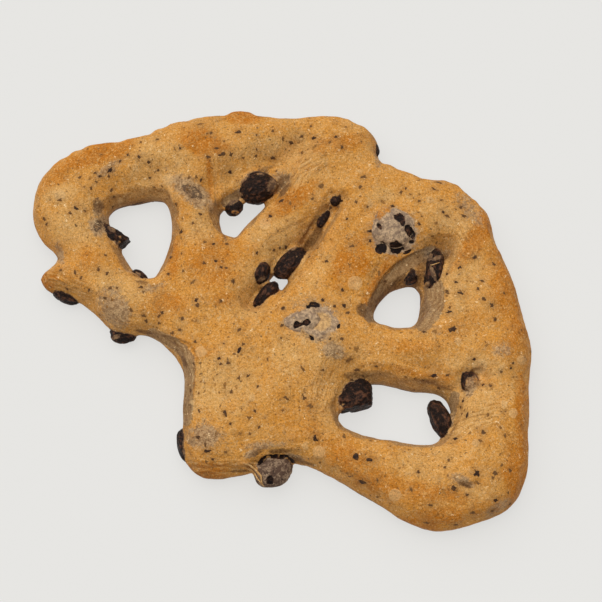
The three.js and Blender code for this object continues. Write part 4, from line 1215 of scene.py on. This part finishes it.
def add_strands(tree, material):
    SIDES = 7
    STEPS = 12
    LIFT_MM = 0.4  # off the surface, towards the camera
    LIFT_SHARE = 0.35  # of the strand's thickness, besides that
    THINNEST = 0.35  # at the ends, as a share of the middle
    points, faces = [], []
    for route, thickness in STRANDS:
        spots = []
        for u, v in route:
            spot = tree.ray_cast(CAMERA_AT, photo_ray(u, v))[0]
            if spot:
                spots.append(spot + (LIFT_SHARE * thickness + LIFT_MM) * MM * VIEW_BACK)
        if len(spots) < 2:
            continue
        path = [along_spots(spots, step / STEPS) for step in range(STEPS + 1)]
        first = len(points)
        for step, centre in enumerate(path):
            ahead = path[min(step + 1, STEPS)] - path[max(step - 1, 0)]
            side = ahead.cross(VIEW_BACK).normalized()
            up = side.cross(ahead).normalized()
            taper = THINNEST + (1 - THINNEST) * math.sin(math.pi * (0.1 + 0.8 * step / STEPS))
            radius = thickness / 2 * MM * taper
            for k in range(SIDES):
                angle = 2 * math.pi * k / SIDES
                points.append(centre + radius * (math.cos(angle) * side + math.sin(angle) * up))
        for step in range(STEPS):
            for k in range(SIDES):
                a, b = first + step * SIDES + k, first + step * SIDES + (k + 1) % SIDES
                faces.append((a, b, b + SIDES, a + SIDES))
        faces.append(tuple(range(first + SIDES - 1, first - 1, -1)))
        faces.append(tuple(range(first + STEPS * SIDES, first + (STEPS + 1) * SIDES)))
    return add_piece("strands", mesh_from("strands", points, faces, material), "crust")


def along_spots(spots, share):
    place = share * (len(spots) - 1)
    i = min(int(place), len(spots) - 2)
    return spots[i].lerp(spots[i + 1], place - i)


# ================= Stage =================

FLOOR_HALF = 60.0  # far enough to fill low views too
FLOOR_COLOUR = linear(231, 230, 227)
FLOOR_GLOW = 0.8  # share of the floor's light that is its own, as on a light table, for fainter shadows
FLOOR_DROP = 0.3 * MM
AMBIENT = 0.32
SUN_FROM = Vector((-0.3, 0.45, 1.1))
SUN_SPREAD = math.radians(90)
SUN_STRENGTH = 2.35


def add_floor():
    p = Paint("floor")
    dim = tuple(channel * (1 - FLOOR_GLOW) for channel in FLOOR_COLOUR[:3]) + (1,)
    p.shader.inputs["Base Color"].default_value = dim
    p.shader.inputs["Roughness"].default_value = 0.95
    p.shader.inputs["Specular IOR Level"].default_value = 0.0
    p.shader.inputs["Emission Color"].default_value = FLOOR_COLOUR
    p.shader.inputs["Emission Strength"].default_value = FLOOR_GLOW
    h = FLOOR_HALF
    corners = [(-h, -h, -FLOOR_DROP), (h, -h, -FLOOR_DROP), (h, h, -FLOOR_DROP), (-h, h, -FLOOR_DROP)]
    floor = bpy.data.objects.new("floor", mesh_from("floor", corners, [(0, 1, 2, 3)], p.material))
    bpy.context.scene.collection.objects.link(floor)


def add_light():
    data = bpy.data.lights.new("key", "SUN")
    data.angle = SUN_SPREAD
    data.energy = SUN_STRENGTH
    key = bpy.data.objects.new("key", data)
    key.rotation_euler = SUN_FROM.to_track_quat("Z", "Y").to_euler()
    bpy.context.scene.collection.objects.link(key)
    world = bpy.data.worlds.new("studio")
    world.use_nodes = True
    world.node_tree.nodes["Background"].inputs["Color"].default_value = (1, 1, 1, 1)
    world.node_tree.nodes["Background"].inputs["Strength"].default_value = AMBIENT
    bpy.context.scene.world = world


def add_camera():
    data = bpy.data.cameras.new("camera")
    data.sensor_width = SENSOR_MM
    data.lens = SENSOR_MM * CAMERA_DISTANCE / (PHOTO_SIZE * PIXEL)
    camera = bpy.data.objects.new("camera", data)
    turn = Matrix((VIEW_RIGHT, VIEW_UP, VIEW_BACK)).transposed().to_4x4()
    camera.matrix_world = Matrix.Translation(CAMERA_AT) @ turn
    bpy.context.scene.collection.objects.link(camera)
    bpy.context.scene.camera = camera


# ================= Everything together =================

add_camera()
add_floor()
add_light()
bpy.context.scene.view_settings.view_transform = "Standard"

crust = crust_blank()
shape_crust(crust)
bed_olives(crust)
crust.look()
crust.paint("bare", tear_film(crust, HOLE_DEPTH))
crust.points = inside_box(crust.points)
paint_crust(crust)
crust_tree = crust.tree()
add_flecks(crust, crust_tree, fleck_material())
crust.piece("crust", crust_material(), "crust", "loaf")

plain = olive_material("olive_skin", CLINGING_PALE, CLINGING_DARK)
materials = {
    "olive_top_dusted": olive_material("olive_dusted_skin", FILM_PALE, FILM_GREY),
    "olive_foot": olive_material("olive_foot_skin", FOOT_PALE, FOOT_GREY, 1.0),
    "olive_top_covered": olive_material("olive_covered_skin", FILM_PALE, FILM_GREY, 0.5),
}
shown_points = crust.points.tolist()
shown_faces = [p.vertices[:] for p in crust.mesh.polygons]
for number, name in enumerate(OLIVES):
    skin = olive_skin(name, number, materials.get(name, plain), crust_tree)
    first = len(shown_points)
    shown_points += skin.points.tolist()
    shown_faces += [tuple(first + i for i in p.vertices) for p in skin.mesh.polygons]
add_strands(BVHTree.FromPolygons(shown_points, shown_faces), strand_material())
